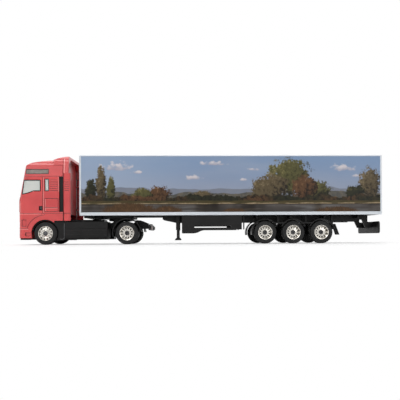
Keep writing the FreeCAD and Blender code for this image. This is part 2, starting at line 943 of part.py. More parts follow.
def build_front_mudguards():
    """Black liners over the front wheels, each with a deep rear panel rounded at the bottom."""
    inner_x, outer_x = 9.4, half_cab - cab_wall - 0.1
    inner = arch_radius - 0.1 - mudguard_thickness
    arc = hollow_cylinder(
        inner_x, outer_x, front_axle_station, wheel_radius, inner, inner + mudguard_thickness
    ).common(block(0, 20, 0, BIG / 4, wheel_radius + 1.0, 20))
    panel = block(inner_x, outer_x, front_axle_station + 3.0, side_tank_front, 2.2, deflector_bottom - 0.1)
    bottom = [edge for edge in panel.Edges
              if edge_runs(edge, Vector(1, 0, 0)) and edge.BoundBox.ZMax < 3
              and edge.BoundBox.YMin > along(side_tank_front) - 1e-3]
    panel = panel.makeFillet(1.2, bottom)
    panel = panel.cut(bar_across(0, 30, front_axle_station, wheel_radius, inner))
    pocket = block(
        inner_x - 1,
        outer_x - 0.7,
        front_axle_station + inner + 1.0,
        side_tank_front - 0.6,
        0,
        deflector_bottom - 0.7,
    )
    bracket = block(rail_outer, inner_x + 0.5, side_tank_front - 1.6, side_tank_front - 0.4, 9.0, 10.6)
    return mirrored(joined([arc, panel.cut(pocket), bracket]))


def build_rear_mudguards():
    """Arched covers over the twin wheels, from low in front to a short tail behind."""
    inner = wheel_radius + mudguard_gap
    outer = inner + mudguard_thickness
    outside = wheel_outer_face + 0.2
    ring = hollow_cylinder(rail_outer, outside, drive_axle_station, wheel_radius, inner, outer)
    front = block(0, 20, drive_axle_station - 12, drive_axle_station, 4.0, 20)
    back = block(0, 20, drive_axle_station, drive_axle_station + 12, 6.6, 20)
    cover = ring.common(front.fuse(back))
    return mirrored(cover)


def build_fifth_wheel():
    """The coupling plate on its bracket, with the kingpin's bore, the entry slot and the ramps."""
    top = fifth_wheel_height
    low = top - fifth_wheel_thickness
    plate = post(0, kingpin_station, low, top, fifth_wheel_radius)
    wings = block(-4.6, 4.6, kingpin_station, kingpin_station + 6.4, low, top)
    plate = plate.fuse(bevelled(wings, Vector(0, 0, 1), 0.8))
    slot = plan_prism(
        [
            (-0.5, kingpin_station + 2.6),
            (0.5, kingpin_station + 2.6),
            (2.6, kingpin_station + 8),
            (-2.6, kingpin_station + 8),
        ],
        0,
        top + 1,
    )
    saddle = side_prism(
        [
            (kingpin_station - 3.6, rail_top),
            (kingpin_station - 1.8, low),
            (kingpin_station + 1.8, low),
            (kingpin_station + 3.6, rail_top),
        ],
        2.6,
        rail_outer,
    )
    bore = post(0, kingpin_station, 0, 40, kingpin_diameter / 2 + kingpin_clearance)
    return joined([plate, saddle, mirror_image(saddle)]).cut([slot, bore])


def build_ramps():
    """The pair of sloping skid rails at the rear end of the tractor's frame."""
    ramp = side_prism(
        [
            (kingpin_station + 8.4, rail_top),
            (kingpin_station + 10.0, 12.9),
            (kingpin_station + 12.4, 12.7),
            (chassis_rear - 0.4, 10.4),
            (chassis_rear - 3.0, rail_top),
        ],
        rail_outer - rail_thickness,
        rail_outer,
    )
    return mirrored(ramp)


def build_tractor_lamps():
    rear, top = chassis_rear + tail_lamp_thickness, tail_lamp_bottom + tail_lamp_height
    lamp = block(tail_lamp_inner, tail_lamp_outer, chassis_rear, rear, tail_lamp_bottom, top)
    return mirrored(lamp)


# Wheels


def wheel_ring(x_inner, x_outer, station, profile):
    """A solid turned about the axle from a path of (x along, radius); x runs outwards."""
    direction = 1 if x_outer > x_inner else -1
    face = outline(profile, lambda a, r: Vector(x_inner + direction * a, along(station), wheel_radius + r))
    centre = Vector(0, along(station), wheel_radius)
    return face.revolve(centre, Vector(1, 0, 0), 360)


def tyre_profile(width):
    """Bore, two sidewalls and the tread."""
    bore = rim_diameter / 2 + seat_clearance
    return [(0.0, bore), (width, bore), (width, wheel_radius), (0.0, wheel_radius)]


def rim_profile(width, dish):
    """A disc set back from the tyre's face, with a round hub that stands out of it."""
    outer = rim_diameter / 2
    disc = width - dish
    return [
        (rim_setback, 0.0),
        (disc + hub_height, 0.0),
        (disc + hub_height, hub_diameter / 2),
        (disc, hub_diameter / 2),
        (disc, outer),
        (rim_setback, outer),
    ]


def wheel_pair(station, width, profile):
    """The same turned solid on the left and on the right end of an axle."""
    outer = wheel_outer_face
    left = wheel_ring(outer - width, outer, station, profile)
    return mirrored(left)


def build_axle(station, width):
    """The plain steel pin between the two rims."""
    reach = wheel_outer_face - width + rim_setback
    return bar_across(-reach, reach, station, wheel_radius, axle_diameter / 2)


def save_wheels(prefix, suffix, station, width, dish):
    save(prefix + "axle" + suffix, build_axle(station, width))
    save(prefix + "tyres" + suffix, wheel_pair(station, width, tyre_profile(width)))
    save(prefix + "rims" + suffix, wheel_pair(station, width, rim_profile(width, dish)))


def save_drive_wheels():
    width = 2 * twin_tyre_width + twin_gap
    save("drive_axle", build_axle(drive_axle_station, width))
    save("drive_tyres", wheel_pair(drive_axle_station, width, tyre_profile(width)))
    save("drive_rims", wheel_pair(drive_axle_station, width, rim_profile(width, rear_rim_dish)))


# Trailer


def build_trailer_box():
    """Sides, front and roof in one moulding, open below and behind, with a shallow seat for the picture."""
    outside = block(
        -half_trailer, half_trailer, trailer_front, trailer_rear, trailer_floor_height, trailer_top
    )
    front_edges = [edge for edge in outside.Edges
                   if edge_runs(edge, Vector(0, 0, 1)) and edge.BoundBox.YMax < along(trailer_front) + 1e-3]
    outside = outside.makeFillet(trailer_corner, front_edges)
    top_edges = [edge for edge in outside.Edges
                 if edge_runs(edge, Vector(0, 1, 0)) and edge.BoundBox.ZMin > trailer_top - 1e-3]
    outside = outside.makeChamfer(trailer_edge, top_edges)
    inside = block(
        -half_trailer + trailer_wall,
        half_trailer - trailer_wall,
        trailer_front + trailer_wall,
        trailer_rear + 1,
        trailer_floor_height - 1,
        trailer_top - trailer_wall,
    )
    seat = picture_prism(0.0, picture_thickness + 0.02, 1.0)
    return outside.cut([inside, seat, mirror_image(seat)])


def picture_prism(shrink, depth, proud):
    s0 = trailer_front + trailer_corner + shrink
    s1 = trailer_rear - picture_margin_rear - shrink
    return block(
        half_trailer - depth, half_trailer + proud, s0, s1, picture_bottom + shrink, picture_top - shrink
    )


def build_picture_panels():
    """The thin printed panels, set flush into both sides of the box."""
    return mirrored(picture_prism(pane_clearance, picture_thickness, -0.01))


def build_rear_doors():
    """Two door leaves, which fill the rear end of the box between its walls."""
    half = half_trailer - trailer_wall - 0.05
    leaf = block(
        door_gap / 2,
        half,
        trailer_rear - door_panel_thickness - 0.1,
        trailer_rear - 0.1,
        trailer_floor_height + 0.4,
        trailer_top - trailer_wall - 0.05,
    )
    field = block(
        0.9,
        half - 0.9,
        trailer_rear - 0.35,
        trailer_rear,
        trailer_floor_height + 1.6,
        trailer_top - trailer_wall - 1.3,
    )
    return mirrored(leaf.cut(field))


def build_lock_bars():
    """The upright lock bars on the doors, on their guides."""
    radius = lock_bar_diameter / 2
    bars = []
    for x in lock_bar_places:
        bar = block(
            x - radius,
            x + radius,
            trailer_rear + lock_bar_proud - lock_bar_diameter,
            trailer_rear + lock_bar_proud,
            trailer_floor_height + 0.6,
            trailer_top - trailer_wall - 0.6,
        )
        guides = [
            block(x - 0.6, x + 0.6, trailer_rear - 0.35, trailer_rear - 0.1, z, z + 0.7)
            for z in lock_guide_heights
        ]
        bars.append(joined([bar] + guides))
    return mirrored(Part.makeCompound(bars))


def build_trailer_floor():
    half = half_trailer - trailer_wall - 0.03
    return block(
        -half,
        half,
        trailer_front + trailer_wall + 0.03,
        trailer_rear - door_panel_thickness - 0.15,
        trailer_floor_height,
        trailer_floor_height + 0.9,
    )


coupling_plate_bottom = fifth_wheel_height + coupling_gap
frame_bottom = trailer_floor_height - frame_depth
tail_bottom = frame_bottom + 1.1


def cross_member_stations():
    """Where the cross members start: at an even pitch before and behind the first axle."""
    nearest = trailer_axle_station - cross_member_lead
    before = math.floor((nearest - leg_station - leg_thickness) / cross_member_pitch)
    first = nearest - before * cross_member_pitch
    count = math.ceil((frame_rear - 2.0 - first) / cross_member_pitch)
    return [first + n * cross_member_pitch for n in range(count)]


def build_trailer_frame():
    """The trailer's frame: two side members that taper to the gooseneck, cross members, axle hangers."""
    top = trailer_floor_height
    plate_rear = kingpin_station + 9.0
    path = [
        (trailer_front + 6.0, top),
        (trailer_front + 6.0, coupling_plate_bottom),
        (plate_rear, coupling_plate_bottom),
        (plate_rear, top - gooseneck_thickness),
        (gooseneck_start, top - gooseneck_thickness),
        (gooseneck_start, gooseneck_step_height),
        (gooseneck_end, frame_bottom),
        (frame_rear - 7.0, frame_bottom),
        (frame_rear - 5.6, tail_bottom),
        (frame_rear, tail_bottom),
        (frame_rear, top),
    ]
    pieces = rail_pair(frame_rail_outer, frame_rail_thickness, path)
    plate = bevelled(
        block(-8.6, 8.6, kingpin_station - 8.0, plate_rear, coupling_plate_bottom, top),
        Vector(0, 0, 1),
        1.0,
    )
    reach = guard_outer - guard_thickness - 0.1
    for station in cross_member_stations():
        rear = station + cross_member_length
        pieces.append(block(-reach, reach, station, rear, top - cross_member_depth, top))
    for number in range(trailer_axle_count):
        station = trailer_axle_station + number * trailer_axle_pitch
        pieces.append(bearer(frame_rail_outer, station, frame_bottom + 0.2))
    frame = joined(pieces + [plate])
    holes = [axle_hole(trailer_axle_station + n * trailer_axle_pitch) for n in range(trailer_axle_count)]
    pin_seat = post(0, kingpin_station, 0, 40, kingpin_diameter / 2 + seat_clearance)
    return frame.cut(holes + [pin_seat])


def build_kingpin():
    return post(
        0,
        kingpin_station,
        fifth_wheel_height - fifth_wheel_thickness - 0.5,
        trailer_floor_height - 0.05,
        kingpin_diameter / 2,
    )


def build_landing_legs():
    """A pair of two-stage legs with slanted feet, each on a bracket from the frame."""
    half = leg_thickness / 2
    x = leg_half_spread
    outer = block(x - half, x + half, leg_station - half, leg_station + half, 7.4, trailer_floor_height)
    inner = block(x - 0.6, x + 0.6, leg_station - 0.6, leg_station + 0.6, foot_clearance + 0.8, 7.4)
    foot = side_prism(
        [
            (leg_station - 1.7, foot_clearance),
            (leg_station + 1.7, foot_clearance),
            (leg_station + 0.9, foot_clearance + 1.2),
            (leg_station - 0.9, foot_clearance + 1.2),
        ],
        x - 1.3,
        x + 1.3,
    )
    bracket = block(frame_rail_outer, x - half, leg_station - 0.5, leg_station + 0.5, 10.8, 13.2)
    return mirrored(joined([outer, inner, foot, bracket]))


def build_side_guards():
    """The deep boxes along each side behind the legs, slotted, with a thin stay behind them."""
    top = trailer_floor_height
    rail = top - guard_rail_depth
    length = guard_rear - guard_front
    slope = guard_slope_share * length
    deep_end = guard_front + guard_deep_share * length
    slope_end = deep_end + slope
    path = [
        (guard_front, top),
        (guard_rear, top),
        (guard_rear, rail),
        (slope_end, rail),
        ((slope_end - 0.35 * slope, rail - 0.5), (slope_end - 0.65 * slope, rail - 1.4)),
        (deep_end, top - guard_depth),
        (guard_front, top - guard_depth),
    ]
    body = side_prism(path, guard_outer - guard_thickness, guard_outer)
    slot_top = top - slot_drop
    slot_rear = guard_rear - slot_rear_share * length
    slot = block(0, BIG, deep_end, slot_rear, slot_top - slot_height, slot_top)
    stay = block(guard_outer - 1.0, guard_outer - 0.4, guard_rear + 0.8, guard_rear + 1.4, rail, top)
    return Part.makeCompound(mirrored(body.cut(slot)).Solids + mirrored(stay).Solids)


def build_trailer_mudguards():
    """A row of joined arches over the three wheels on each side."""
    inner = wheel_radius + 0.75
    x0, x1 = 8.8, half_trailer - 0.7
    rings, holes = [], []
    last = last_axle_station
    for number in range(trailer_axle_count):
        station = trailer_axle_station + number * trailer_axle_pitch
        rings.append(bar_across(x0, x1, station, wheel_radius, inner + mudguard_thickness))
        holes.append(bar_across(x0 - 1, x1 + 1, station, wheel_radius, inner))
    crest = wheel_radius + inner + mudguard_thickness
    web = block(x0, x1, trailer_axle_station, last, crest - 2.6, crest - 1.9)
    hangers = []
    for number in range(trailer_axle_count - 1):
        between = trailer_axle_station + (number + 0.5) * trailer_axle_pitch
        hanger = block(
            x0 + 0.4, x0 + 1.6, between - 0.6, between + 0.6, crest - 2.4, trailer_floor_height
        )
        hangers.append(hanger)
    whole = joined(rings + [web] + hangers).cut(holes)
    low_front = block(0, 20, trailer_axle_station - 12, trailer_axle_station, -5, 4.6)
    low_back = block(0, 20, last, last + 12, -5, 7.4)
    low_middle = block(0, 20, trailer_axle_station, last, -5, 9.0)
    return mirrored(whole.cut([low_front, low_back, low_middle]))


def build_mudflaps():
    last = last_axle_station
    flap = side_prism(
        [
            (last + 6.75, 10.2),
            (last + 7.3, 10.2),
            (last + 9.4, 4.5),
            (last + 8.7, 4.5),
        ],
        8.8,
        half_trailer - 0.9,
    )
    hanger = block(8.8, 10.0, last + 6.2, last + 7.3, 10.2, trailer_floor_height)
    return mirrored(joined([flap, hanger]))


def build_rear_bumper():
    """The underrun bar at the rear, on two brackets from the frame."""
    bar = bevelled(
        block(
            -bumper_bar_half_width,
            bumper_bar_half_width,
            bumper_bar_station,
            bumper_bar_station + bumper_bar_thickness,
            bumper_bar_bottom,
            bumper_bar_top,
        ),
        Vector(0, 1, 0),
        0.8,
    )
    bracket = side_prism(
        [
            (frame_rear - 3.0, tail_bottom),
            (frame_rear, tail_bottom),
            (frame_rear, bumper_bar_top),
            (bumper_bar_station, bumper_bar_top - 0.6),
            (bumper_bar_station, bumper_bar_top - 3.2),
            (frame_rear - 1.0, bumper_bar_top - 3.2),
        ],
        frame_rail_outer - frame_rail_thickness,
        frame_rail_outer,
    )
    return joined([bar, bracket, mirror_image(bracket)])


def build_trailer_lamps():
    back = bumper_bar_station + bumper_bar_thickness
    return mirrored(block(7.6, 12.6, back, back + 0.5, 7.2, 9.2))


save("cab_shell", build_cab_shell())
save("high_roof", build_high_roof())
save("cab_glazing", build_glazing())
save("upper_side_windows", build_upper_windows())
save("air_intakes", build_air_intakes())
save("front_bumper", build_front_bumper())
save("front_grilles", build_grilles())
save("headlamps", build_headlamps())
save("front_lip", build_front_lip())
save("roof_deflector", build_roof_deflector())
save("side_deflectors", build_side_deflectors())
save("door_handles", build_door_handles())
save("cab_floor", build_cab_floor())
save("seats", build_seats())
save("bunk", build_bunk())
save("dashboard", build_dashboard())
save("steering_wheel", build_steering_wheel())
save("chassis_frame", build_chassis_frame())
save("drive_case", build_drive_case())
save("side_tanks", build_side_tanks())
save("front_mudguards", build_front_mudguards())
save("rear_mudguards", build_rear_mudguards())
save("fifth_wheel", build_fifth_wheel())
save("ramps", build_ramps())
save("tractor_tail_lamps", build_tractor_lamps())
save_wheels("front_", "", front_axle_station, front_tyre_width, front_rim_dish)
save_drive_wheels()
save("trailer_box", build_trailer_box())
save("picture_panels", build_picture_panels())
save("rear_doors", build_rear_doors())
save("lock_bars", build_lock_bars())
save("trailer_floor", build_trailer_floor())
save("trailer_frame", build_trailer_frame())
save("kingpin", build_kingpin())
save("landing_legs", build_landing_legs())
save("side_guards", build_side_guards())
save("trailer_mudguards", build_trailer_mudguards())
save("mudflaps", build_mudflaps())
save("rear_bumper", build_rear_bumper())
save("trailer_tail_lamps", build_trailer_lamps())
for number in range(trailer_axle_count):
    station = trailer_axle_station + number * trailer_axle_pitch
    save_wheels("trailer_", "_" + str(number + 1), station, trailer_tyre_width, rear_rim_dish)
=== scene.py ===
import bmesh
import bpy
import json
import math
from mathutils import Matrix, Vector
from mathutils.bvhtree import BVHTree


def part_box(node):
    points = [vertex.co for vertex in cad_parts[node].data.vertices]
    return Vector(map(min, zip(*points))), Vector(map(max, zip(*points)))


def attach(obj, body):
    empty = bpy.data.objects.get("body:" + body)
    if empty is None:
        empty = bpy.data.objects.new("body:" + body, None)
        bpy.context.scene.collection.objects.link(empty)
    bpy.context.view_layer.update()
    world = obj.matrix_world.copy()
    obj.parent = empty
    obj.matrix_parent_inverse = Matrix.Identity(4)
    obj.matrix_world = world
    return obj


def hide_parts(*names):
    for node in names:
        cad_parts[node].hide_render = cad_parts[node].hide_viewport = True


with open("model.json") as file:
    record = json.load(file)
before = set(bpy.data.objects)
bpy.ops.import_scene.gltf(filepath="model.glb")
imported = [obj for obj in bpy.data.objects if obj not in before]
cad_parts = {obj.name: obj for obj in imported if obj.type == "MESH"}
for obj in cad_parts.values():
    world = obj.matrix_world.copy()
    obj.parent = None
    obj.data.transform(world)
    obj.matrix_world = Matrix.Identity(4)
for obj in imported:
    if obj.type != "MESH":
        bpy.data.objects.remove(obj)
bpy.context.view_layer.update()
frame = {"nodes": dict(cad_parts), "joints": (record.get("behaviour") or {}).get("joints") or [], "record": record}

# Lengths are written in millimetres and turned into metres by MM.
# The nose points to -Y, the vehicle's left side to +X, and the wheels stand on Z = 0.
# A station is a distance back from the front bumper.

MM = 0.001
SIDES = ((1, "left"), (-1, "right"))

nodes = frame["nodes"]
front_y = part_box("front_bumper")[0].y


def point(x, station, height):
    """A point in metres from a distance across, a station and a height in mm."""
    return Vector((x * MM, front_y + station * MM, height * MM))


def station_of(y):
    """The station in mm of a y in metres."""
    return (y - front_y) / MM


# Stations and heights on the cab's sides that its joints, painted highlights and lips share

joint_places = {joint["name"]: joint["pos_m"] for joint in frame["joints"]}
AXLE = station_of(joint_places["front_wheels_roll"][1])
AXLE_LEVEL = joint_places["front_wheels_roll"][2] / MM
ARCH_LIP = 9.8
BUMPER_JOINT = 16.2
PANEL_JOINT = 8.4
ROOF_JOINT = 35.3
DOOR_REAR = 13.7
CAB_REAR = 24.0
LOCKER_ENDS = (14.7, 21.5)
LOCKER_LEVELS = (17.1, 19.2, 23.8)
RIBS_REAR = 21.6
RIB_PITCH = 1.1
RIB_LEVEL = 27.9


# Shader trees


class Tree:
    """A shader node tree while it is put together."""

    def __init__(self, tree):
        self.tree = tree

    def add(self, kind, **settings):
        node = self.tree.nodes.new(kind)
        for key, value in settings.items():
            setattr(node, key, value)
        return node

    def feed(self, node, key, value):
        """Sets an input to a value, or links it to another node's output."""
        if isinstance(value, bpy.types.NodeSocket):
            self.tree.links.new(value, node.inputs[key])
        else:
            node.inputs[key].default_value = value

    def math(self, operation, first, second=0.0, third=0.0):
        node = self.add("ShaderNodeMath", operation=operation)
        for index, value in enumerate((first, second, third)):
            self.feed(node, index, value)
        return node.outputs[0]

    def step(self, value, low, high, start=0.0, end=1.0):
        """A smooth step from start to end while value goes from low to high."""
        node = self.add("ShaderNodeMapRange", interpolation_type="SMOOTHSTEP")
        for key, number in (("Value", value), ("From Min", low), ("From Max", high),
                            ("To Min", start), ("To Max", end)):
            self.feed(node, key, number)
        return node.outputs["Result"]

    def both(self, first, second):
        """1 where both shares are 1."""
        return self.math("MULTIPLY", first, second)

    def either(self, *shares):
        """The greatest of some shares."""
        greatest = shares[0]
        for share in shares[1:]:
            greatest = self.math("MAXIMUM", greatest, share)
        return greatest

    def length(self, first, second):
        """The length of a vector with two parts."""
        pair = self.add("ShaderNodeCombineXYZ")
        self.feed(pair, "X", first)
        self.feed(pair, "Y", second)
        node = self.add("ShaderNodeVectorMath", operation="LENGTH")
        self.feed(node, 0, pair.outputs[0])
        return node.outputs["Value"]

    def mix(self, share, first, second):
        """A colour between two colours."""
        node = self.add("ShaderNodeMix", data_type="RGBA")
        self.feed(node, "Factor", share)
        self.feed(node, "A", first)
        self.feed(node, "B", second)
        return node.outputs["Result"]


class Look(Tree):
    """A material, with the place on the model at hand: across, along as a station, and up, in mm."""

    def __init__(self, name, **sockets):
        self.material = bpy.data.materials.new(name)
        self.material.use_nodes = True
        super().__init__(self.material.node_tree)
        self.shader = self.tree.nodes["Principled BSDF"]
        for socket, value in sockets.items():
            self.shader.inputs[socket.replace("_", " ")].default_value = value
        self.place = self.add("ShaderNodeTexCoord").outputs["Object"]
        parts = self.add("ShaderNodeSeparateXYZ")
        self.feed(parts, "Vector", self.place)
        self.across = self.math("DIVIDE", parts.outputs["X"], MM)
        self.along = self.math("DIVIDE", self.math("SUBTRACT", parts.outputs["Y"], front_y), MM)
        self.up = self.math("DIVIDE", parts.outputs["Z"], MM)

    def noise(self, scale, detail, stretch=(1, 1, 1), where=None):
        """Noise of about 0 to 1 with features of 1/scale, in metres unless another place is given."""
        mapping = self.add("ShaderNodeMapping")
        self.feed(mapping, "Vector", where or self.place)
        mapping.inputs["Scale"].default_value = stretch
        node = self.add("ShaderNodeTexNoise")
        self.feed(node, "Vector", mapping.outputs[0])
        self.feed(node, "Scale", scale)
        self.feed(node, "Detail", detail)
        return node.outputs["Fac"]

    def within(self, value, low, high, soft=0.08):
        """1 where the value lies between two limits."""
        return self.both(self.step(value, low - soft, low + soft),
                         self.step(value, high - soft, high + soft, 1.0, 0.0))

    def level_line(self, height, start, end, half=0.11):
        """1 on a thin line along the vehicle at one height."""
        return self.both(self.within(self.up, height - half, height + half),
                         self.within(self.along, start, end))

    def upright_line(self, station, bottom, top, half=0.11):
        """1 on a thin upright line at one station."""
        return self.both(self.within(self.along, station - half, station + half),
                         self.within(self.up, bottom, top))

    def open_share(self, reach, low, high):
        """1 on open surfaces, 0 in corners and holes that are narrower than a reach; the materials darken their
        colour with it as painted shade.
        """
        node = self.add("ShaderNodeAmbientOcclusion", samples=8)
        node.inputs["Distance"].default_value = reach * MM
        return self.step(node.outputs["AO"], low, high)

    def mottle(self, noise, first, second):
        """Two colours mixed by a noise."""
        return self.mix(self.step(noise, 0.3, 0.7), first, second)

    def colour(self, value):
        self.feed(self.shader, "Base Color", value)

    def roughness(self, noise, low, high, margin=0.2):
        """A roughness that a noise moves between two limits, held there near its own ends."""
        self.feed(self.shader, "Roughness", self.step(noise, margin, 1 - margin, low, high))

    def bump(self, height, distance, strength, edge=0.0):
        """Bump from a height, on edges that are rounded by a small radius where one is given."""
        node = self.add("ShaderNodeBump")
        self.feed(node, "Height", height)
        node.inputs["Distance"].default_value = distance * MM
        node.inputs["Strength"].default_value = strength
        if edge:
            rounding = self.add("ShaderNodeBevel", samples=4)
            rounding.inputs["Radius"].default_value = edge * MM
            self.feed(node, "Normal", rounding.outputs[0])
        self.feed(self.shader, "Normal", node.outputs[0])


def rgb(red, green, blue):
    """A screen colour of 0 to 255 as a linear colour."""
    linear = []
    for level in (red, green, blue):
        share = level / 255
        linear.append(share / 12.92 if share <= 0.04045 else ((share + 0.055) / 1.055) ** 2.4)
    return (*linear, 1.0)


# Node materials
# No range of roughness crosses 0.27, because the denoiser leaves dark flecks where one does.


def cab_joints_and_lip_shade(look):
    """1 in the joints of doors, lockers, roof and bumper, less in the ribs behind the doors, and on a band of
    painted shade just inside the lip over the front arch.
    """
    from_axle = look.length(look.math("SUBTRACT", look.along, AXLE),
                            look.math("SUBTRACT", look.up, AXLE_LEVEL))
    # Painted shade: a dark band just inside the lip over the front arch.
    painted_lip_shade = look.both(look.within(from_axle, ARCH_LIP - 0.55, ARCH_LIP - 0.3),
                          look.within(look.up, 8.8, 16.0))
    lines = [
        look.level_line(BUMPER_JOINT, 0.9, 27.7),
        look.level_line(PANEL_JOINT, 0.9, 6.4),
        look.level_line(ROOF_JOINT, 1.6, 23.9),
        look.upright_line(DOOR_REAR, 16.4, 34.9),
        look.upright_line(CAB_REAR, 12.4, 46.0),
        look.both(painted_lip_shade, look.step(look.along, 14.5, 12.5)),
    ]
    lines += [look.level_line(level, *LOCKER_ENDS) for level in LOCKER_LEVELS]
    lines += [look.upright_line(end, LOCKER_LEVELS[0], LOCKER_LEVELS[-1]) for end in LOCKER_ENDS]
    rise = look.math("WRAP", look.math("SUBTRACT", look.up, RIB_LEVEL), RIB_PITCH / 2, -RIB_PITCH / 2)
    ribs = look.both(look.step(look.math("ABSOLUTE", rise), 0.1, 0.26, 1.0, 0.0),
                     look.within(look.up, RIB_LEVEL - 0.3, 33.9))
    beside = look.either(look.within(look.along, 17.5, RIBS_REAR), look.within(look.along, 24.5, 27.2))
    lines.append(look.math("MULTIPLY", look.both(ribs, beside), 0.6))
    return look.either(*lines)


def cab_painted_highlights(look):
    """1 on painted highlights: lines beside the joints, on the deflector's rear edge and on the front corner."""
    front, rear = LOCKER_ENDS
    bottom, split, top = LOCKER_LEVELS
    return look.either(
        look.level_line(BUMPER_JOINT - 0.35, 0.9, 12.6),
        look.level_line(PANEL_JOINT - 0.35, 0.9, 6.2),
        look.level_line(split - 0.3, front + 0.2, rear - 0.2),
        look.upright_line(front + 0.28, bottom + 0.3, top - 0.3),
        look.upright_line(DOOR_REAR + 0.35, 16.6, 34.8),
        look.upright_line(RIBS_REAR + 0.25, 27.4, 34.9),
        look.upright_line(CAB_REAR + 0.6, 36.8, 44.6, 0.2),
        look.upright_line(1.9, 17.0, 22.4, 0.2))


def red_plastic():
    """Glossy moulded plastic with flow marks, a soft mould texture, dark joints, painted highlights beside them
    and painted shade in its corners.
    """
    look = Look("red_plastic", Coat_Weight=0.5, Coat_Roughness=0.08, IOR=1.5)
    flow = look.noise(120, 3.0, (1.0, 0.5, 1.0))
    base = look.mottle(flow, rgb(188, 52, 54), rgb(201, 62, 62))
    on_side = look.step(look.math("ABSOLUTE", look.across), 12.4, 12.8)
    # Besides the joints this also holds the painted shade inside the arch lip.
    joints = look.both(cab_joints_and_lip_shade(look), on_side)
    painted_highlights = look.both(cab_painted_highlights(look), on_side)
    # Painted highlights: a pale pink mixed in along the edges beside the joints, on the deflector's rear edge and
    # on the front corner.
    base = look.mix(look.math("MULTIPLY", painted_highlights, 0.55), base, rgb(250, 176, 170))
    # Dark joints, with the painted shade inside the arch lip among them.
    base = look.mix(look.math("MULTIPLY", joints, 0.75), base, rgb(84, 12, 18))
    # Painted shade: darker red in corners and creases that the ambient occlusion finds within 1.3 mm.
    look.colour(look.mix(look.open_share(1.3, 0.45, 0.95), rgb(110, 16, 22), base))
    fine = look.noise(1600, 3.0)
    look.roughness(fine, 0.29, 0.36)
    texture = look.math("ADD", fine, look.math("MULTIPLY", flow, 4.0))
    look.bump(look.math("MULTIPLY_ADD", joints, -14.0, texture), 0.006, 0.8, 0.24)
    return look.material


def black_plastic():
    """Satin black plastic with a fine grain and an uneven tone."""
    look = Look("black_plastic", Specular_IOR_Level=0.22)
    look.colour(look.mottle(look.noise(140, 2.0), rgb(12, 12, 12), rgb(21, 20, 20)))
    grain = look.noise(3200, 4.0)
    look.roughness(grain, 0.36, 0.54)
    look.bump(grain, 0.02, 0.7, 0.18)
    return look.material


def white_plastic():
    """Smooth white plastic, a little cool, with soft unevenness."""
    look = Look("white_plastic", IOR=1.5)
    look.colour(look.mottle(look.noise(60, 3.0, (1.0, 0.4, 1.0)), rgb(198, 204, 210), rgb(206, 211, 217)))
    fine = look.noise(2400, 3.0)
    look.roughness(fine, 0.3, 0.44)
    look.bump(fine, 0.01, 0.7, 0.2)
    return look.material


def interior_plastic():
    look = Look("interior_plastic", IOR=1.5)
    grain = look.noise(1800, 4.0)
    look.colour(look.mottle(grain, rgb(74, 74, 76), rgb(92, 92, 94)))
    look.roughness(grain, 0.5, 0.7)
    look.bump(grain, 0.04, 0.8, 0.2)
    return look.material


def clear_glazing():
    """Clear polystyrene panes, a little milky."""
    look = Look("clear_glazing", Transmission_Weight=0.4, IOR=1.45)
    haze = look.noise(110, 2.0)
    look.colour(look.mottle(haze, rgb(228, 233, 228), rgb(236, 239, 234)))
    look.roughness(haze, 0.04, 0.08, 0.3)
    look.bump(haze, 0.006, 0.4)
    return look.material


def smoked_glazing():
    look = Look("smoked_glazing", IOR=1.5, Coat_Weight=0.4, Coat_Roughness=0.08)
    haze = look.noise(500, 3.0)
    look.colour(look.mottle(haze, rgb(116, 108, 101), rgb(127, 118, 111)))
    look.roughness(haze, 0.14, 0.24, 0.3)
    look.bump(haze, 0.01, 0.5, 0.1)
    return look.material


def chrome_plastic():
    """Bright plating with slight waviness, darkened in holes and grooves by painted shade."""
    look = Look("chrome_plastic", Metallic=1.0)
    wave = look.noise(700, 3.0)
    bright = look.mottle(wave, rgb(206, 202, 194), rgb(234, 230, 222))
    # Painted shade: near-black in holes and grooves that the ambient occlusion finds within 0.9 mm.
    look.colour(look.mix(look.open_share(0.9, 0.35, 0.95), rgb(38, 37, 36), bright))
    look.roughness(look.noise(2500, 2.0), 0.14, 0.25)
    look.bump(wave, 0.02, 0.8)
    return look.material


def grey_metal():
    look = Look("grey_metal", Metallic=1.0)
    streak = look.noise(900, 3.0, (0.1, 1.0, 1.0))
    look.colour(look.mottle(streak, rgb(150, 152, 156), rgb(196, 198, 201)))
    look.roughness(streak, 0.3, 0.44)
    look.bump(streak, 0.01, 0.6, 0.08)
    return look.material


def tyre_rubber():
    look = Look("tyre_rubber", Specular_IOR_Level=0.3)
    look.colour(look.mottle(look.noise(260, 3.0), rgb(20, 20, 21), rgb(30, 30, 30)))
    grain = look.noise(4200, 4.0)
    look.roughness(grain, 0.5, 0.72)
    look.bump(grain, 0.03, 0.8, 0.08)
    return look.material


def lens_ribs(look, pitch):
    """Upright ribs across a lens as a wave of 0 to 1."""
    wave = look.math("SINE", look.math("MULTIPLY", look.across, 2 * math.pi / pitch))
    return look.step(wave, -1.0, 1.0)


def lamp_clear():
    """A clear ribbed lens over two round reflectors on each side."""
    look = Look("lamp_clear", IOR=1.49, Coat_Weight=0.8, Coat_Roughness=0.04)
    ribs = lens_ribs(look, 0.45)
    pattern = look.mix(ribs, rgb(150, 155, 158), rgb(186, 190, 192))
    aside = look.math("ABSOLUTE", look.across)
    rise = look.math("SUBTRACT", look.up, 10.45)
    for middle in (9.6, 11.9):
        out = look.length(look.math("SUBTRACT", aside, middle), rise)
        pattern = look.mix(look.step(out, 1.05, 0.95), pattern, rgb(92, 95, 98))
        pattern = look.mix(look.step(out, 0.88, 0.55), pattern, rgb(236, 238, 236))
    look.colour(pattern)
    look.roughness(look.noise(2000, 2.0), 0.1, 0.2, 0.3)
    look.bump(ribs, 0.05, 0.8)
    return look.material


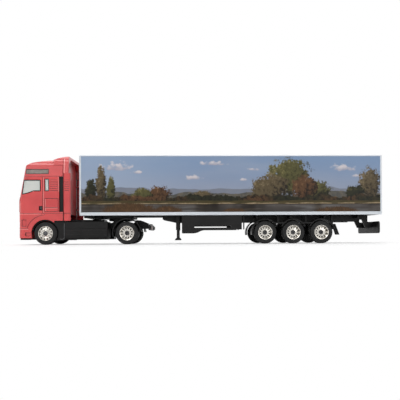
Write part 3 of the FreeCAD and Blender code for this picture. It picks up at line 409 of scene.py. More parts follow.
def lamp_red():
    """A red ribbed lens that faces the rear, in a black housing."""
    look = Look("lamp_red", Specular_IOR_Level=0.3)
    ribs = lens_ribs(look, 0.5)
    lens = look.mix(ribs, rgb(112, 8, 10), rgb(176, 22, 22))
    facing = look.add("ShaderNodeSeparateXYZ")
    look.feed(facing, "Vector", look.add("ShaderNodeTexCoord").outputs["Normal"])
    look.colour(look.mix(look.step(facing.outputs["Y"], 0.55, 0.75), rgb(18, 17, 17), lens))
    look.roughness(look.noise(2000, 2.0), 0.12, 0.24, 0.3)
    look.bump(ribs, 0.05, 0.8)
    return look.material


class Landscape(Look):
    """A made-up lake shore in autumn, printed on a glossy film, in layers from the sky to the reeds."""

    # Dark, middle and bright tone of each kind of leaf
    BROWN = rgb(36, 31, 25), rgb(84, 73, 54), rgb(134, 119, 92)
    OLIVE = rgb(32, 32, 22), rgb(78, 75, 46), rgb(132, 124, 80)
    RUST = rgb(34, 26, 20), rgb(82, 58, 40), rgb(132, 100, 70)
    DEEP = rgb(20, 21, 16), rgb(38, 38, 26), rgb(82, 78, 52)
    REED = rgb(24, 18, 13), rgb(64, 46, 30), rgb(116, 84, 54)

    # Station, height, half width and half height of each cloud
    CLOUDS = (
        (51.5, 39.0, 8.4, 3.4),
        (62.0, 36.8, 3.4, 1.3),
        (91.0, 33.8, 4.6, 1.9),
        (101.0, 41.2, 6.6, 2.2),
        (117.5, 33.0, 2.6, 1.1),
        (122.0, 38.4, 3.6, 1.3),
        (169.5, 38.6, 7.0, 3.0),
        (177.0, 35.0, 2.8, 1.2),
    )

    # Station, top and half width of each trunk
    TRUNKS = ((141.0, 33.0, 0.9), (128.0, 27.0, 0.5), (43.5, 30.0, 0.35), (182.0, 30.0, 0.5))
    TRUNK_FOOT = 22.0

    # Station, height, half width, half height and tones of each crown, a nearer one after a farther one
    CROWNS = (
        (128.5, 28.6, 7.6, 6.4, BROWN),
        (155.0, 27.4, 7.4, 5.6, OLIVE),
        (141.0, 34.6, 11.4, 9.6, OLIVE),
        (134.0, 30.0, 7.0, 6.6, BROWN),
        (149.0, 29.0, 6.6, 6.2, RUST),
        (43.5, 31.0, 2.9, 9.0, BROWN),
        (48.6, 28.2, 2.2, 6.6, OLIVE),
        (38.4, 27.6, 3.0, 5.6, DEEP),
        (73.0, 26.0, 6.2, 4.2, RUST),
        (65.0, 25.4, 5.4, 3.6, OLIVE),
        (96.0, 25.0, 5.0, 2.6, BROWN),
        (183.5, 31.0, 5.6, 8.6, BROWN),
        (176.0, 26.4, 5.4, 4.0, DEEP),
    )

    # Station, half width and height of each clump of reeds
    REEDS = ((58.0, 15.0, 5.4), (77.0, 9.0, 3.6), (166.0, 12.0, 3.2), (112.0, 7.0, 2.4))
    REED_FOOT = 16.2
    WATER_TOP = 20.5

    def __init__(self):
        super().__init__("printed_film", Specular_IOR_Level=0.16)
        flat = self.add("ShaderNodeCombineXYZ")
        self.feed(flat, "Y", self.along)
        self.feed(flat, "Z", self.up)
        self.flat = flat.outputs[0]
        self.lumps = self.spots(3.4, 3.0)
        self.leaves = self.spots(0.95, 4.0)
        self.masses = self.spots(2.1, 3.0)
        self.picture = None

    def spots(self, size, detail, stretch=(1, 1, 1)):
        """Noise on the picture with features of a size in mm."""
        return self.noise(1 / size, detail, stretch, self.flat)

    def wave(self, size, detail, middle, swing, offset=0.0):
        """A height that wanders about a middle along the picture, with features of a size in mm."""
        spot = self.add("ShaderNodeCombineXYZ")
        self.feed(spot, "Y", self.math("ADD", self.along, offset))
        value = self.noise(1 / size, detail, where=spot.outputs[0])
        return self.math("MULTIPLY_ADD", value, 2 * swing, middle - swing)

    def sway(self, value, noise, swing):
        """A value that a noise moves by up to half a swing each way."""
        return self.math("MULTIPLY_ADD", noise, swing, self.math("ADD", value, -swing / 2))

    def ragged(self, value, lump, leaf):
        """A height or an outline made ragged by lumps and by leaves."""
        return self.sway(self.sway(value, self.lumps, lump), self.leaves, leaf)

    def cover(self, share, colour):
        """Paints a colour over the picture so far."""
        self.picture = self.mix(share, self.picture, colour)

    def below(self, height, soft):
        """1 below a height."""
        return self.step(self.math("SUBTRACT", self.up, height), soft, -soft)

    def from_middle(self, station, height, half_width, half_height):
        """The way across and up from the middle of an oval, 1 at its edges."""
        across = self.math("DIVIDE", self.math("SUBTRACT", self.along, station), half_width)
        upward = self.math("DIVIDE", self.math("SUBTRACT", self.up, height), half_height)
        return across, upward

    def leafage(self, light, dark, middle, bright):
        """Three leaf colours, mixed by the light on them."""
        low = self.mix(self.step(light, 0.2, 0.5), dark, middle)
        return self.mix(self.step(light, 0.5, 0.85), low, bright)

    def cloud(self, station, height, half_width, half_height, puffs):
        """A heaped cloud, flat below and ragged above, greyer towards its foot."""
        across, upward = self.from_middle(station, height, half_width, half_height)
        foot = self.math("MULTIPLY", upward, -3.2)
        edge = self.sway(self.length(across, self.math("MAXIMUM", upward, foot)), puffs, 2.6)
        tone = self.step(self.sway(upward, puffs, -1.4), -0.3, 0.8)
        lit = self.mix(tone, rgb(150, 150, 164), rgb(208, 199, 198))
        self.cover(self.step(edge, 1.05, 0.35, 0.0, 0.85), lit)

    def trunk(self, station, top, half_width):
        bend = self.wave(5.0, 2.0, 0.0, 0.4, station)
        aside = self.math("ADD", self.math("SUBTRACT", self.along, station), bend)
        across = self.step(self.math("ABSOLUTE", aside), half_width, half_width / 2)
        self.cover(self.both(across, self.within(self.up, self.TRUNK_FOOT, top, 0.3)), rgb(44, 36, 32))

    def crown(self, station, height, half_width, half_height, tones):
        """A tree's crown, lighter towards its top and the nose."""
        across, upward = self.from_middle(station, height, half_width, half_height)
        distance = self.length(across, upward)
        edge = self.ragged(distance, 1.1, 0.9)
        light = self.math("MULTIPLY_ADD", across, -0.14, self.math("MULTIPLY", upward, 0.16))
        light = self.math("MULTIPLY_ADD", self.masses, 0.75, light)
        light = self.math("MULTIPLY_ADD", self.leaves, 0.5, self.math("ADD", light, -0.2))
        share = self.both(self.step(edge, 1.1, 0.82), self.step(distance, 1.42, 1.3))
        self.cover(share, self.leafage(light, *tones))

    def paint_sky(self):
        """A blue that pales downwards and towards the nose, a thin veil and the clouds."""
        self.picture = self.mix(self.step(self.up, 23.0, 45.5), rgb(138, 146, 164), rgb(118, 140, 170))
        veil = self.step(self.spots(24.0, 4.0, (1, 0.35, 1.7)), 0.42, 0.75, 0.0, 0.3)
        self.cover(veil, rgb(160, 164, 174))
        self.cover(self.step(self.along, 105.0, 35.0, 0.0, 0.4), rgb(160, 174, 193))
        puffs = self.spots(2.6, 5.0, (1, 0.75, 1))
        for cloud in self.CLOUDS:
            self.cloud(*cloud, puffs)

    def paint_hills(self):
        far = self.below(self.wave(34.0, 3.0, 28.6, 5.6), 0.22)
        self.cover(far, self.mix(self.spots(4.0, 4.0), rgb(104, 112, 128), rgb(124, 126, 134)))
        near = self.below(self.ragged(self.wave(24.0, 3.0, 26.2, 4.4, 61.0), 1.0, 0.5), 0.18)
        self.cover(near, self.mottle(self.lumps, rgb(66, 68, 68), rgb(96, 90, 80)))

    def paint_trees(self):
        """One tall broad tree among others, some slim ones and bushes, and low woods before them."""
        for trunk in self.TRUNKS:
            self.trunk(*trunk)
        for crown in self.CROWNS:
            self.crown(*crown)
        woods = self.below(self.ragged(self.wave(11.0, 4.0, 24.9, 3.8, 13.0), 3.2, 1.6), 0.25)
        light = self.math("MULTIPLY_ADD", self.leaves, 0.6, -0.3)
        light = self.math("MULTIPLY_ADD", self.masses, 0.8, light)
        dull, warm = [self.leafage(light, *tones) for tones in (self.DEEP, self.RUST)]
        self.cover(woods, self.mix(self.step(self.spots(19.0, 2.0), 0.45, 0.66), dull, warm))

    def paint_shore(self):
        """A meadow with patches of sand at its edge."""
        meadow = self.below(self.wave(16.0, 3.0, 22.4, 0.8, 5.0), 0.16)
        self.cover(meadow, self.mix(self.spots(1.6, 5.0, (1, 0.35, 1)), rgb(30, 34, 20), rgb(84, 72, 45)))
        sand = self.both(self.below(self.wave(9.0, 4.0, 21.3, 0.8, 33.0), 0.12),
                         self.step(self.spots(7.0, 3.0, (1, 1, 0)), 0.36, 0.56, 0.15, 1.0))
        self.cover(sand, self.mix(self.spots(0.8, 4.0), rgb(112, 96, 74), rgb(160, 142, 112)))

    def paint_water(self):
        """Dark water under a darker bank, with still and open stretches and ripples."""
        edge = self.wave(13.0, 2.0, self.WATER_TOP, 0.3, 91.0)
        self.cover(self.below(self.math("ADD", edge, 0.25), 0.1), rgb(18, 16, 15))
        depth = self.step(self.up, 16.4, 20.6)
        opening = self.step(self.spots(14.0, 2.0, (1, 1, 0.2)), 0.35, 0.65)
        still_water = self.mix(depth, rgb(44, 39, 35), rgb(28, 23, 19))
        open_water = self.mix(depth, rgb(56, 52, 50), rgb(78, 73, 70))
        self.cover(self.below(edge, 0.1), self.mix(opening, still_water, open_water))
        ripple = self.step(self.spots(3.4, 5.0, (1, 0.14, 2.2)), 0.46, 0.68, 0.0, 0.75)
        ripple = self.both(ripple, self.below(self.WATER_TOP - 0.2, 0.3))
        self.cover(ripple, self.mix(opening, rgb(68, 56, 42), rgb(104, 102, 102)))

    def paint_reeds(self):
        blades = self.spots(0.55, 3.0, (1, 2.6, 0.35))
        light = self.math("MULTIPLY_ADD", blades, 0.8, self.math("MULTIPLY", self.masses, 0.3))
        for station, half_width, height in self.REEDS:
            distance = self.length(*self.from_middle(station, self.REED_FOOT, half_width, height))
            edge = self.sway(self.sway(distance, blades, 0.9), self.lumps, 0.5)
            self.cover(self.step(edge, 1.08, 0.84), self.leafage(light, *self.REED))

    def finish(self):
        """Paints the layers and gives the film its soft gloss."""
        self.paint_sky()
        self.paint_hills()
        self.paint_trees()
        self.paint_shore()
        self.paint_water()
        self.paint_reeds()
        self.colour(self.picture)
        gloss = self.noise(90, 2.0)
        self.roughness(gloss, 0.3, 0.4)
        self.bump(gloss, 0.004, 0.3)
        return self.material


def printed_film():
    return Landscape().finish()


makers = (red_plastic, black_plastic, white_plastic, interior_plastic, clear_glazing, smoked_glazing,
          chrome_plastic, grey_metal, tyre_rubber, lamp_clear, lamp_red, printed_film)
materials = {maker.__name__: maker() for maker in makers}

for subpart in frame["record"]["subparts"]:
    node_object = nodes[subpart["node"]]
    node_object.data.materials.clear()
    node_object.data.materials.append(materials[subpart["material_slot"]])


# Mesh helpers


def mesh_data(name, mesh):
    """Turns a bmesh into mesh data and frees it."""
    data = bpy.data.meshes.new(name)
    mesh.to_mesh(data)
    mesh.free()
    return data


def add_object(name, data):
    """An object with the data, linked to the scene."""
    item = bpy.data.objects.new(name, data)
    bpy.context.scene.collection.objects.link(item)
    return item


def add_piece(name, mesh, body, slot, smooth_angle):
    """Turns a bmesh into a named piece that rides on a body and takes a slot's finish."""
    bmesh.ops.recalc_face_normals(mesh, faces=mesh.faces)
    data = mesh_data(name, mesh)
    data.materials.append(materials[slot])
    data.shade_smooth()
    data.set_sharp_from_angle(angle=math.radians(smooth_angle))
    piece = add_object(name, data)
    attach(piece, body)
    return piece


def merge_into(mesh, part):
    """Adds one bmesh to another."""
    data = mesh_data("spare", part)
    mesh.from_mesh(data)
    bpy.data.meshes.remove(data)


def turned(mesh, profile, place, count, shift=None):
    """Turns a profile of (out, radius) pairs, which may end on the axis, into points that place gives."""
    rings = []
    for row, (out, radius) in enumerate(profile):
        ring = []
        for step in range(count if radius else 1):
            change = shift(row, step) if shift else 0.0
            ring.append(mesh.verts.new(place(out, radius + change, 2 * math.pi * step / count)))
        rings.append(ring)
    for first, second in zip(rings, rings[1:]):
        for step in range(count):
            after = (step + 1) % count
            if len(second) == 1:
                mesh.faces.new((first[step], first[after], second[0]))
            else:
                mesh.faces.new((first[step], first[after], second[after], second[step]))


def span(side, near, far):
    """The low and high x of a stretch on one side, from its two distances across."""
    return sorted((side * near, side * far))


def box_into(mesh, x0, x1, s0, s1, z0, z1, bevel):
    """A box between two x, two stations and two heights, with bevelled edges."""
    part = bmesh.new()
    bmesh.ops.create_cube(part, size=1.0)
    low, high = point(x0, s0, z0), point(x1, s1, z1)
    for vert in part.verts:
        vert.co = Vector(low[i] if vert.co[i] < 0 else high[i] for i in range(3))
    bmesh.ops.bevel(part, geom=part.edges[:], offset=bevel * MM, segments=2, affect="EDGES",
                    profile=0.7)
    merge_into(mesh, part)


def upright_pin_into(mesh, x, station, bottom, top, radius, sides=10):
    """An upright round pin between two heights."""
    turns = [2 * math.pi * n / sides for n in range(sides)]
    rim = [(x - radius * math.sin(turn), station + radius * math.cos(turn)) for turn in turns]
    lower, upper = [[mesh.verts.new(point(*spot, height)) for spot in rim] for height in (bottom, top)]
    for n in range(sides):
        after = (n + 1) % sides
        mesh.faces.new((lower[n], lower[after], upper[after], upper[n]))
    mesh.faces.new(lower)
    mesh.faces.new(upper)


# Wheels

TYRE_STEPS = 144
RIM_STEPS = 96
HUB_STEPS = 48
HOLE_STEPS = 14
GROOVES = (0.27, 0.5, 0.73)
GROOVE_DEPTH = 0.2
RIM_HOLES = 12
DISC_THICKNESS = 0.3
NUTS = 10
NUT_HEIGHT = 0.3
TWIN_GAP = 0.8
DISH = 1.5


def wheel_place(centre, side):
    """Gives the point for a distance out from the middle of the axle, a radius and an angle."""

    def place(out, radius, angle):
        return centre + Vector((side * out, radius * math.cos(angle), radius * math.sin(angle))) * MM

    return place


def tyre_profile(inner, outer, bore, radius):
    """Beads, bulged sidewalls with a raised ring, round shoulders and three tread grooves."""
    wall = radius - bore
    half = [
        (0.10, bore),
        (0.03, bore + 0.06 * wall),
        (0.06, bore + 0.20 * wall),
        (0.10, bore + 0.48 * wall),
        (0.0, bore + 0.52 * wall),
        (0.0, bore + 0.60 * wall),
        (0.10, bore + 0.64 * wall),
        (0.10, bore + 0.72 * wall),
        (0.06, bore + 0.80 * wall),
        (0.10, radius - 0.40),
        (0.20, radius - 0.16),
        (0.40, radius - 0.03),
    ]
    tread = []
    for share in GROOVES:
        middle = inner + share * (outer - inner)
        tread += [(middle - 0.14, radius), (middle - 0.10, radius - GROOVE_DEPTH),
                  (middle + 0.10, radius - GROOVE_DEPTH), (middle + 0.14, radius)]
    back = [(inner + out, r) for out, r in half]
    front = [(outer - out, r) for out, r in reversed(half)]
    return back + tread + front + [(inner + 0.10, bore)]


def build_tyre(mesh, place, inner, outer, bore, radius):
    """A tyre with cross grooves in its shoulders, where every fourth step stands lower."""
    profile = tyre_profile(inner, outer, bore, radius)

    def is_cut(out, r):
        in_middle = 0.3 < (out - inner) / (outer - inner) < 0.7
        in_groove = abs(r - (radius - GROOVE_DEPTH)) < 1e-6
        return r >= radius - 0.45 and not in_middle and not in_groove

    cut_rows = {row for row, (out, r) in enumerate(profile) if is_cut(out, r)}
    turned(mesh, profile, place, TYRE_STEPS,
           lambda row, step: -0.13 if row in cut_rows and step % 4 == 0 else 0.0)


def disc_into(mesh, place, inner, outer, holes_radius, hole, inner_out, outer_out):
    """A slightly coned disc between two radii, with a ring of round holes through it."""
    disc = bmesh.new()

    def loop(centre_radius, centre_angle, radius, steps):
        verts = []
        for n in range(steps):
            turn = 2 * math.pi * n / steps
            a = centre_radius * math.cos(centre_angle) + radius * math.cos(turn)
            b = centre_radius * math.sin(centre_angle) + radius * math.sin(turn)
            verts.append(disc.verts.new((a, b, 0)))
        return [disc.edges.new((verts[n], verts[(n + 1) % steps])) for n in range(steps)]

    edges = loop(0, 0, outer, RIM_STEPS) + loop(0, 0, inner, RIM_STEPS // 2)
    for n in range(RIM_HOLES):
        edges += loop(holes_radius, 2 * math.pi * (n + 0.5) / RIM_HOLES, hole, HOLE_STEPS)
    bmesh.ops.triangle_fill(disc, use_beauty=True, edges=edges)
    extruded = bmesh.ops.extrude_face_region(disc, geom=disc.faces[:])
    lower = {item for item in extruded["geom"] if isinstance(item, bmesh.types.BMVert)}
    for vert in disc.verts:
        radius = vert.co.xy.length
        out = inner_out + (outer_out - inner_out) * (radius - inner) / (outer - inner)
        if vert in lower:
            out -= DISC_THICKNESS
        vert.co = place(out, radius, math.atan2(vert.co.y, vert.co.x))
    merge_into(mesh, disc)


def nuts_into(mesh, place, nuts_radius, out, size):
    """A ring of small six-sided nuts with rounded tops."""
    top = out + NUT_HEIGHT
    rows = [(out - 0.1, size), (out + NUT_HEIGHT * 0.7, size), (top, size * 0.6), (top, 0.0)]
    for n in range(NUTS):
        middle = 2 * math.pi * n / NUTS

        def nut_place(along, radius, angle):
            a = nuts_radius * math.cos(middle) + radius * math.cos(angle)
            b = nuts_radius * math.sin(middle) + radius * math.sin(angle)
            return place(along, math.hypot(a, b), math.atan2(b, a))

        turned(mesh, rows, nut_place, 6)


def build_front_rim(mesh, place, face, radius):
    """A shallow rim: round flange, a coned disc with a ring of holes, a raised ring and nuts."""
    flange = [
        (face - 2.6, radius - 0.5),
        (face - 2.6, radius),
        (face - 0.12, radius),
        (face, radius - 0.10),
        (face - 0.02, radius - 0.26),
        (face - 0.34, radius - 0.50),
        (face - 0.50, radius - 0.56),
        (face - 0.75, radius - 0.58),
    ]
    turned(mesh, flange, place, RIM_STEPS)
    disc_into(mesh, place, inner=1.3, outer=radius - 0.5, holes_radius=2.88, hole=0.33,
              inner_out=face - 0.02, outer_out=face - 0.5)
    ring = [
        (face - 0.4, 2.5),
        (face - 0.12, 2.44),
        (face - 0.06, 2.3),
        (face - 0.12, 2.16),
        (face - 0.3, 2.1),
    ]
    turned(mesh, ring, place, RIM_STEPS)
    nuts_into(mesh, place, nuts_radius=1.78, out=face - 0.1, size=0.2)
    collar = [
        (face - 0.3, 1.36),
        (face + 0.02, 1.32),
        (face + 0.04, 1.22),
        (face - 0.5, 1.16),
    ]
    turned(mesh, collar, place, HUB_STEPS)


def build_front_hub(mesh, place, face):
    """A round cap in a dark recess."""
    hub = [
        (face - 0.5, 1.16),
        (face - 0.5, 0.86),
        (face + 0.12, 0.82),
        (face + 0.3, 0.72),
        (face + 0.38, 0.5),
        (face + 0.4, 0.0),
    ]
    turned(mesh, hub, place, HUB_STEPS)


def build_dished_rim(mesh, place, face, radius):
    """A deep rim: flange, conical wall, and a disc with a ring of holes and nuts set back in it."""
    floor = face - DISH
    wall = [
        (floor - 0.6, radius - 0.5),
        (floor - 0.6, radius),
        (face - 0.12, radius),
        (face, radius - 0.10),
        (face - 0.02, radius - 0.24),
        (face - 0.12, radius - 0.38),
        (floor + 0.30, radius - 0.66),
        (floor + 0.06, radius - 0.80),
        (floor - 0.10, radius - 0.98),
    ]
    turned(mesh, wall, place, RIM_STEPS)
    disc_into(mesh, place, inner=1.2, outer=radius - 0.85, holes_radius=2.36, hole=0.40,
              inner_out=floor + 0.22, outer_out=floor)
    nuts_into(mesh, place, nuts_radius=1.62, out=floor + 0.16, size=0.17)
    collar = [
        (floor - 0.1, 1.24),
        (floor + 0.26, 1.24),
        (floor + 0.26, 1.18),
        (floor - 0.5, 1.16),
    ]
    turned(mesh, collar, place, HUB_STEPS)


def build_dished_hub(mesh, place, face):
    """A hub with a bored end that stands out of a dark recess."""
    floor = face - DISH
    hub = [
        (floor - 0.5, 1.16),
        (floor - 0.5, 0.84),
        (floor + 0.82, 0.82),
        (floor + 0.9, 0.74),
        (floor + 0.9, 0.56),
        (floor + 0.1, 0.52),
        (floor + 0.1, 0.24),
        (floor + 0.8, 0.22),
        (floor + 0.8, 0.0),
    ]
    turned(mesh, hub, place, HUB_STEPS)


def build_backing(mesh, place, inner, out, radius):
    """The dark inside of a wheel, seen through the holes of its rim."""
    drum = [(inner + 0.05, 0.85), (inner + 0.05, radius), (out, radius), (out, 0.0)]
    turned(mesh, drum, place, HUB_STEPS)


def dress_wheels(body, prefix, suffix="", twin=False, shallow=False):
    """Tyres and rims in place of the plain ones on both ends of an axle, with hubs and backings."""
    tyre_node, rim_node = prefix + "tyres" + suffix, prefix + "rims" + suffix
    low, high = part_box(tyre_node)
    centre = Vector((0, (low.y + high.y) / 2, (low.z + high.z) / 2))
    radius = (high.z - low.z) / 2 / MM
    outer = high.x / MM
    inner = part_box(prefix + "axle" + suffix)[1].x / MM - 0.3
    bore = (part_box(rim_node)[1].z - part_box(rim_node)[0].z) / 2 / MM
    face = outer - 0.05
    backing_depth = 0.75 if shallow else 2.1
    width = (outer - inner - TWIN_GAP) / 2 if twin else outer - inner
    for side, word in SIDES:
        place = wheel_place(centre, side)
        ending = suffix + "_" + word
        tyre, hub, rim, back = [bmesh.new() for _ in range(4)]
        for start in (inner, outer - width) if twin else (inner,):
            build_tyre(tyre, place, start, start + width, bore, radius)
        if shallow:
            build_front_rim(rim, place, face, bore)
            build_front_hub(hub, place, face)
        else:
            build_dished_rim(rim, place, face, bore)
            build_dished_hub(hub, place, face)
        build_backing(back, place, inner, face - backing_depth, bore - 0.05)
        tyre_piece = add_piece(prefix + "tyre" + ending, tyre, body, "tyre_rubber", 38)
        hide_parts(tyre_node)
        add_piece(prefix + "hub" + ending, hub, body, "interior_plastic", 35)
        rim_piece = add_piece(prefix + "rim" + ending, rim, body, "chrome_plastic", 35)
        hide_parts(rim_node)
        add_piece(prefix + "wheel_back" + ending, back, body, "black_plastic", 35)


dress_wheels("front_wheels", "front_", shallow=True)
dress_wheels("drive_wheels", "drive_", twin=True)
for number in ("1", "2", "3"):
    dress_wheels("trailer_wheels_" + number, "trailer_", "_" + number)


def build_nose_beam():
    """The front of the trailer's frame: side members, a stepped beam and two strips under the floor."""
    frame_lo, frame_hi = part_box("trailer_frame")
    floor_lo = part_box("trailer_floor")[0]
    rear = station_of(frame_lo.y) + 0.2
    front = station_of(floor_lo.y) + 0.3
    half, top, bottom = frame_hi.x / MM, floor_lo.z / MM, 13.7
    member, corner = half - 1.2, half - 3.4
    mesh = bmesh.new()
    for side in (-1, 1):
        box_into(mesh, *span(side, half, member), front + 0.6, rear, bottom, top, 0.1)
        box_into(mesh, *span(side, member, corner), front + 0.3, front + 1.5, bottom + 0.2, top, 0.1)
    box_into(mesh, -corner, corner, front, front + 1.2, bottom + 0.3, top, 0.1)
    for strip in (front + 2.6, front + 4.2):
        box_into(mesh, -member, member, strip, strip + 0.5, bottom + 0.5, top, 0.06)
    add_piece("trailer_nose_beam", mesh, "trailer", "black_plastic", 40)


build_nose_beam()


# Beads on the bodies' surfaces

# How far off a ray starts that looks for a surface
FAR = 40.0

# A bead's section, as shares of its width and height
BEAD_SECTION = ((-0.5, -0.1), (-0.5, 0.45), (-0.28, 0.9), (0.0, 1.0), (0.28, 0.9), (0.5, 0.45), (0.5, -0.1))


def surface_of(*names):
    """A search tree of the faces of some nodes."""
    corners, faces = [], []
    for name in names:
        node = nodes[name]
        start = len(corners)
        corners += [node.matrix_world @ vertex.co for vertex in node.data.vertices]
        faces += [[start + index for index in face.vertices] for face in node.data.polygons]
    return BVHTree.FromPolygons(corners, faces)


def finely(path, closed, pitch=0.8):
    """The points of a path with more points between them."""
    ends = path[1:] + path[:1] if closed else path[1:]
    fine = []
    for first, second in zip(path, ends):
        count = max(1, math.ceil(math.dist(first, second) / pitch))
        fine += [tuple(a + (b - a) * n / count for a, b in zip(first, second)) for n in range(count)]
    return fine if closed else fine + [path[-1]]


def bead_into(mesh, spot, outward, path, width, height, closed=False):
    """A rounded bead along a path of two coordinates, laid on a surface that spot finds."""
    path = finely(path, closed)
    count = len(path)
    rows = []
    for index, middle in enumerate(path):
        before = path[index - 1] if closed or index else middle
        after = path[(index + 1) % count] if closed or index < count - 1 else middle
        run = Vector((after[0] - before[0], after[1] - before[1])).normalized()
        aside = Vector((-run.y, run.x))
        base = spot(*middle)
        row = []
        for share, rise in BEAD_SECTION:
            place = spot(middle[0] + aside.x * share * width, middle[1] + aside.y * share * width)
            flat = base if place is None or (place - base).length > 1.5 * width * MM else place
            row.append(mesh.verts.new(flat + outward * rise * height * MM))
        rows.append(row)
    pairs = list(zip(rows, rows[1:])) + ([(rows[-1], rows[0])] if closed else [])
    last = len(BEAD_SECTION) - 1
    for first, second in pairs:
        for n in range(last):
            mesh.faces.new((first[n], first[n + 1], second[n + 1], second[n]))
        mesh.faces.new((first[last], first[0], second[0], second[last]))
    if not closed:
        mesh.faces.new(rows[0])
        mesh.faces.new(rows[-1])


def both_sides(name, slot, surface, beads, closed=False):
    """The same beads of (path, width, height) on the tractor's left and right side, one piece each."""
    for side, word in SIDES:
        outward = Vector((side, 0, 0))

        def spot(station, height):
            return surface.ray_cast(point(side * FAR, station, height), -outward)[0]

        mesh = bmesh.new()
        for path, width, height in beads:
            bead_into(mesh, spot, outward, path, width, height, closed)
        add_piece(name + "_" + word, mesh, "tractor", slot, 50)


def dress_cab_sides():
    """Window seals, the lip over the front arch, the vane on the front corner and the door levers."""
    cab_side = surface_of("cab_shell", "cab_glazing", "high_roof", "upper_side_windows", "front_bumper")
    door = [(3.1, 26.05), (4.05, 33.3), (12.4, 33.3), (12.4, 27.8), (8.9, 27.8), (6.6, 26.9)]
    quarter = [(14.8, 27.8), (16.7, 27.8), (16.7, 33.8), (14.8, 33.8)]
    both_sides("window_seal", "black_plastic", cab_side, [(door, 0.5, 0.12), (quarter, 0.42, 0.12)], True)
    upper = [(5.1, 36.6), (16.6, 36.6), (16.6, 38.9), (5.1, 38.9)]
    both_sides("upper_seal", "black_plastic", cab_side, [(upper, 0.22, 0.1)], True)
    turns = [math.radians(angle) for angle in range(16, 92, 4)]
    lip = [(AXLE - ARCH_LIP * math.cos(turn), AXLE_LEVEL + ARCH_LIP * math.sin(turn)) for turn in turns]
    vane = [(1.35, 17.0), (1.3, 20.0), (1.55, 24.6)]
    both_sides("arch_lip", "red_plastic", cab_side, [(lip, 0.5, 0.24), (vane, 0.55, 0.3)])
    lever = [(12.75, 18.2), (12.75, 19.7)]
    handle_side = surface_of("cab_shell", "door_handles")
    both_sides("handle_lever", "interior_plastic", handle_side, [(lever, 0.5, 0.2)])


def dress_chassis_sides():
    """A lighter grey bead along the front mudguards' rear panels as a painted highlight on their rounded edge, and
    beads along the tanks.
    """
    rear = station_of(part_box("front_mudguards")[1].y)
    # Painted highlight: a grey bead along the rear and bottom edge of each mudguard panel.
    edge = [(rear - 0.4, 11.0), (rear - 0.4, 3.4), (rear - 1.0, 2.9), (rear - 2.6, 2.9)]
    both_sides("guard_painted_highlight", "interior_plastic", surface_of("front_mudguards"), [(edge, 0.3, 0.12)])
    start, end = [station_of(corner.y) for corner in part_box("side_tanks")]
    beads = [([(start + 0.6, level), (end - 0.6, level)], 0.4, 0.14) for level in (7.3, 5.2, 3.6)]
    both_sides("tank_bead", "black_plastic", surface_of("side_tanks"), beads)


def build_wipers():
    """Two wiper arms with their blades at the foot of the windscreen."""
    glass = surface_of("cab_shell", "cab_glazing")
    ahead = Vector((0, -1, 0))

    def spot(x, height):
        return glass.ray_cast(point(x, -FAR, height), -ahead)[0]

    mesh = bmesh.new()
    for pivot, tip in ((-8.6, 0.6), (0.4, 9.4)):
        middle = (pivot + tip) / 2
        arm = [(pivot, 25.1), (pivot + 1.0, 26.3), (middle, 27.2)]
        blade = [(pivot + 0.8, 26.6), (middle, 27.2), (tip, 27.7)]
        bead_into(mesh, spot, ahead, arm, 0.36, 0.2)
        bead_into(mesh, spot, ahead, blade, 0.3, 0.28)
    add_piece("wipers", mesh, "tractor", "black_plastic", 50)


dress_cab_sides()
dress_chassis_sides()
build_wipers()


# Gear on the rear doors

HINGE_LEVELS = (19.0, 25.6, 32.2, 38.8, 43.4)
LOCK_BARS = (2.6, 11.0)
HANDLE_LEVEL = 20.5

doors_lo, doors_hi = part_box("rear_doors")
doors_face = station_of(doors_hi.y)
doors_half = doors_hi.x / MM


def build_door_seals():
    """A rubber seal round each of the two rear doors."""
    doors = surface_of("rear_doors")
    behind = Vector((0, 1, 0))

    def spot(x, height):
        return doors.ray_cast(point(x, doors_face + FAR, height), -behind)[0]

    bottom, top = doors_lo.z / MM + 0.5, doors_hi.z / MM - 0.5
    mesh = bmesh.new()
    for side in (-1, 1):
        inner, outer = side * 0.35, side * (doors_half - 0.55)
        path = [(inner, bottom), (outer, bottom), (outer, top), (inner, top)]
        bead_into(mesh, spot, behind, path, 0.4, 0.12, True)
    add_piece("door_seals", mesh, "trailer", "black_plastic", 50)


def build_door_gear():
    """Hinges at the doors' outer edges, and handles with their clamps on the lock bars."""
    face = doors_face
    mesh = bmesh.new()
    for side in (-1, 1):
        leaf = span(side, doors_half - 2.3, doors_half - 0.25)
        pin = side * (doors_half - 0.35)
        for level in HINGE_LEVELS:
            box_into(mesh, *leaf, face - 0.1, face + 0.22, level - 0.35, level + 0.35, 0.08)
            upright_pin_into(mesh, pin, face + 0.14, level - 0.55, level + 0.55, 0.17)
        for bar in LOCK_BARS:
            box_into(mesh, *span(side, bar, bar - 1.9), face - 0.05, face + 0.34,
                     HANDLE_LEVEL - 0.3, HANDLE_LEVEL + 0.25, 0.1)
            box_into(mesh, side * bar - 0.42, side * bar + 0.42, face - 0.1, face + 0.36,
                     HANDLE_LEVEL - 0.6, HANDLE_LEVEL + 0.6, 0.1)
    add_piece("door_gear", mesh, "trailer", "grey_metal", 40)


build_door_seals()
build_door_gear()


# Camera, floor and light


def aimed(place, aim):
    """The matrix of a camera or lamp at one point that faces another."""
    return Matrix.Translation(place) @ (aim - place).to_track_quat("-Z", "Y").to_matrix().to_4x4()


def build_camera():
    """A camera at the left side, a little ahead of the middle and turned back by a small angle."""
    distance = 225 * MM
    turn, roll = math.radians(1.5), math.radians(-0.3)
    aim = point(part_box("trailer_box")[1].x / MM, 94.35, 4.0)
    eye = aim + Vector((distance, -distance * math.tan(turn), 0))
    data = bpy.data.cameras.new("camera")
    data.sensor_width = 36.0
    data.lens = 39.13
    data.clip_start = 10 * MM
    data.shift_y = 0.0908
    camera = add_object("camera", data)
    camera.matrix_world = aimed(eye, aim) @ Matrix.Rotation(roll, 4, "Z")
    bpy.context.scene.camera = camera


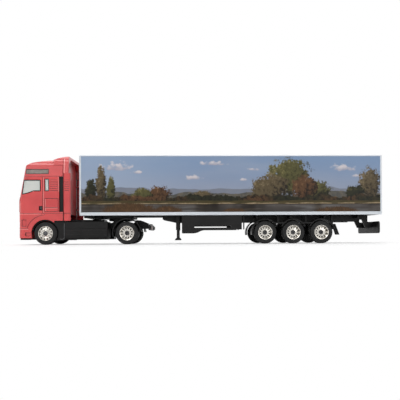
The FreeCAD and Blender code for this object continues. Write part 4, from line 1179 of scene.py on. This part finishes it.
def floor_material():
    """Pale paper that takes the truck's shadow, and glows white to the camera away from the truck."""
    look = Look("floor", Roughness=0.6)
    look.colour(look.mix(look.noise(40, 3.0), rgb(250, 250, 250), rgb(255, 255, 255)))
    aside = look.math("DIVIDE", look.across, 70.0)
    ahead = look.math("DIVIDE", look.math("SUBTRACT", look.along, 95.0), 135.0)
    away = look.step(look.length(aside, ahead), 0.6, 1.5, 0.35, 1.0)
    blend = look.add("ShaderNodeMixShader")
    look.feed(blend, 0, look.both(away, look.add("ShaderNodeLightPath").outputs["Is Camera Ray"]))
    look.feed(blend, 1, look.shader.outputs[0])
    look.feed(blend, 2, look.add("ShaderNodeEmission").outputs[0])
    look.feed(look.tree.nodes["Material Output"], "Surface", blend.outputs[0])
    return look.material


def build_floor():
    mesh = bmesh.new()
    bmesh.ops.create_grid(mesh, x_segments=2, y_segments=2, size=3000 * MM)
    floor = add_object("floor", mesh_data("floor", mesh))
    floor.data.materials.append(floor_material())


def add_light(name, place, aim, size, power):
    """A soft rectangular lamp at a place in mm that faces a point."""
    lamp = bpy.data.lights.new(name, "AREA")
    lamp.shape = "RECTANGLE"
    lamp.size, lamp.size_y = [length * MM for length in size]
    lamp.energy = power
    add_object(name, lamp).matrix_world = aimed(Vector(place) * MM, Vector(aim) * MM)


def build_world():
    """White surroundings, dimmer as a light on dull surfaces than to the camera, glass and gloss."""
    world = bpy.data.worlds.new("studio")
    bpy.context.scene.world = world
    world.use_nodes = True
    tree = Tree(world.node_tree)
    ray = tree.add("ShaderNodeLightPath").outputs
    seen = tree.math("ADD", ray["Is Camera Ray"], ray["Is Transmission Ray"])
    seen = tree.math("ADD", seen, ray["Is Glossy Ray"])
    background = tree.tree.nodes["Background"]
    tree.feed(background, "Color", (1, 1, 1, 1))
    tree.feed(background, "Strength", tree.step(seen, 0.0, 1.0, 0.42, 1.0))


build_camera()
build_floor()
add_light("key", (420, -300, 420), (0, 0, 20), (350, 250), 1.35)
add_light("fill", (450, 350, 220), (0, 20, 20), (300, 300), 0.6)
add_light("top", (-50, 0, 550), (0, 0, 0), (500, 300), 1.3)
add_light("back", (-450, 100, 300), (0, 0, 20), (400, 300), 0.5)
build_world()

bpy.context.scene.view_settings.view_transform = "Standard"
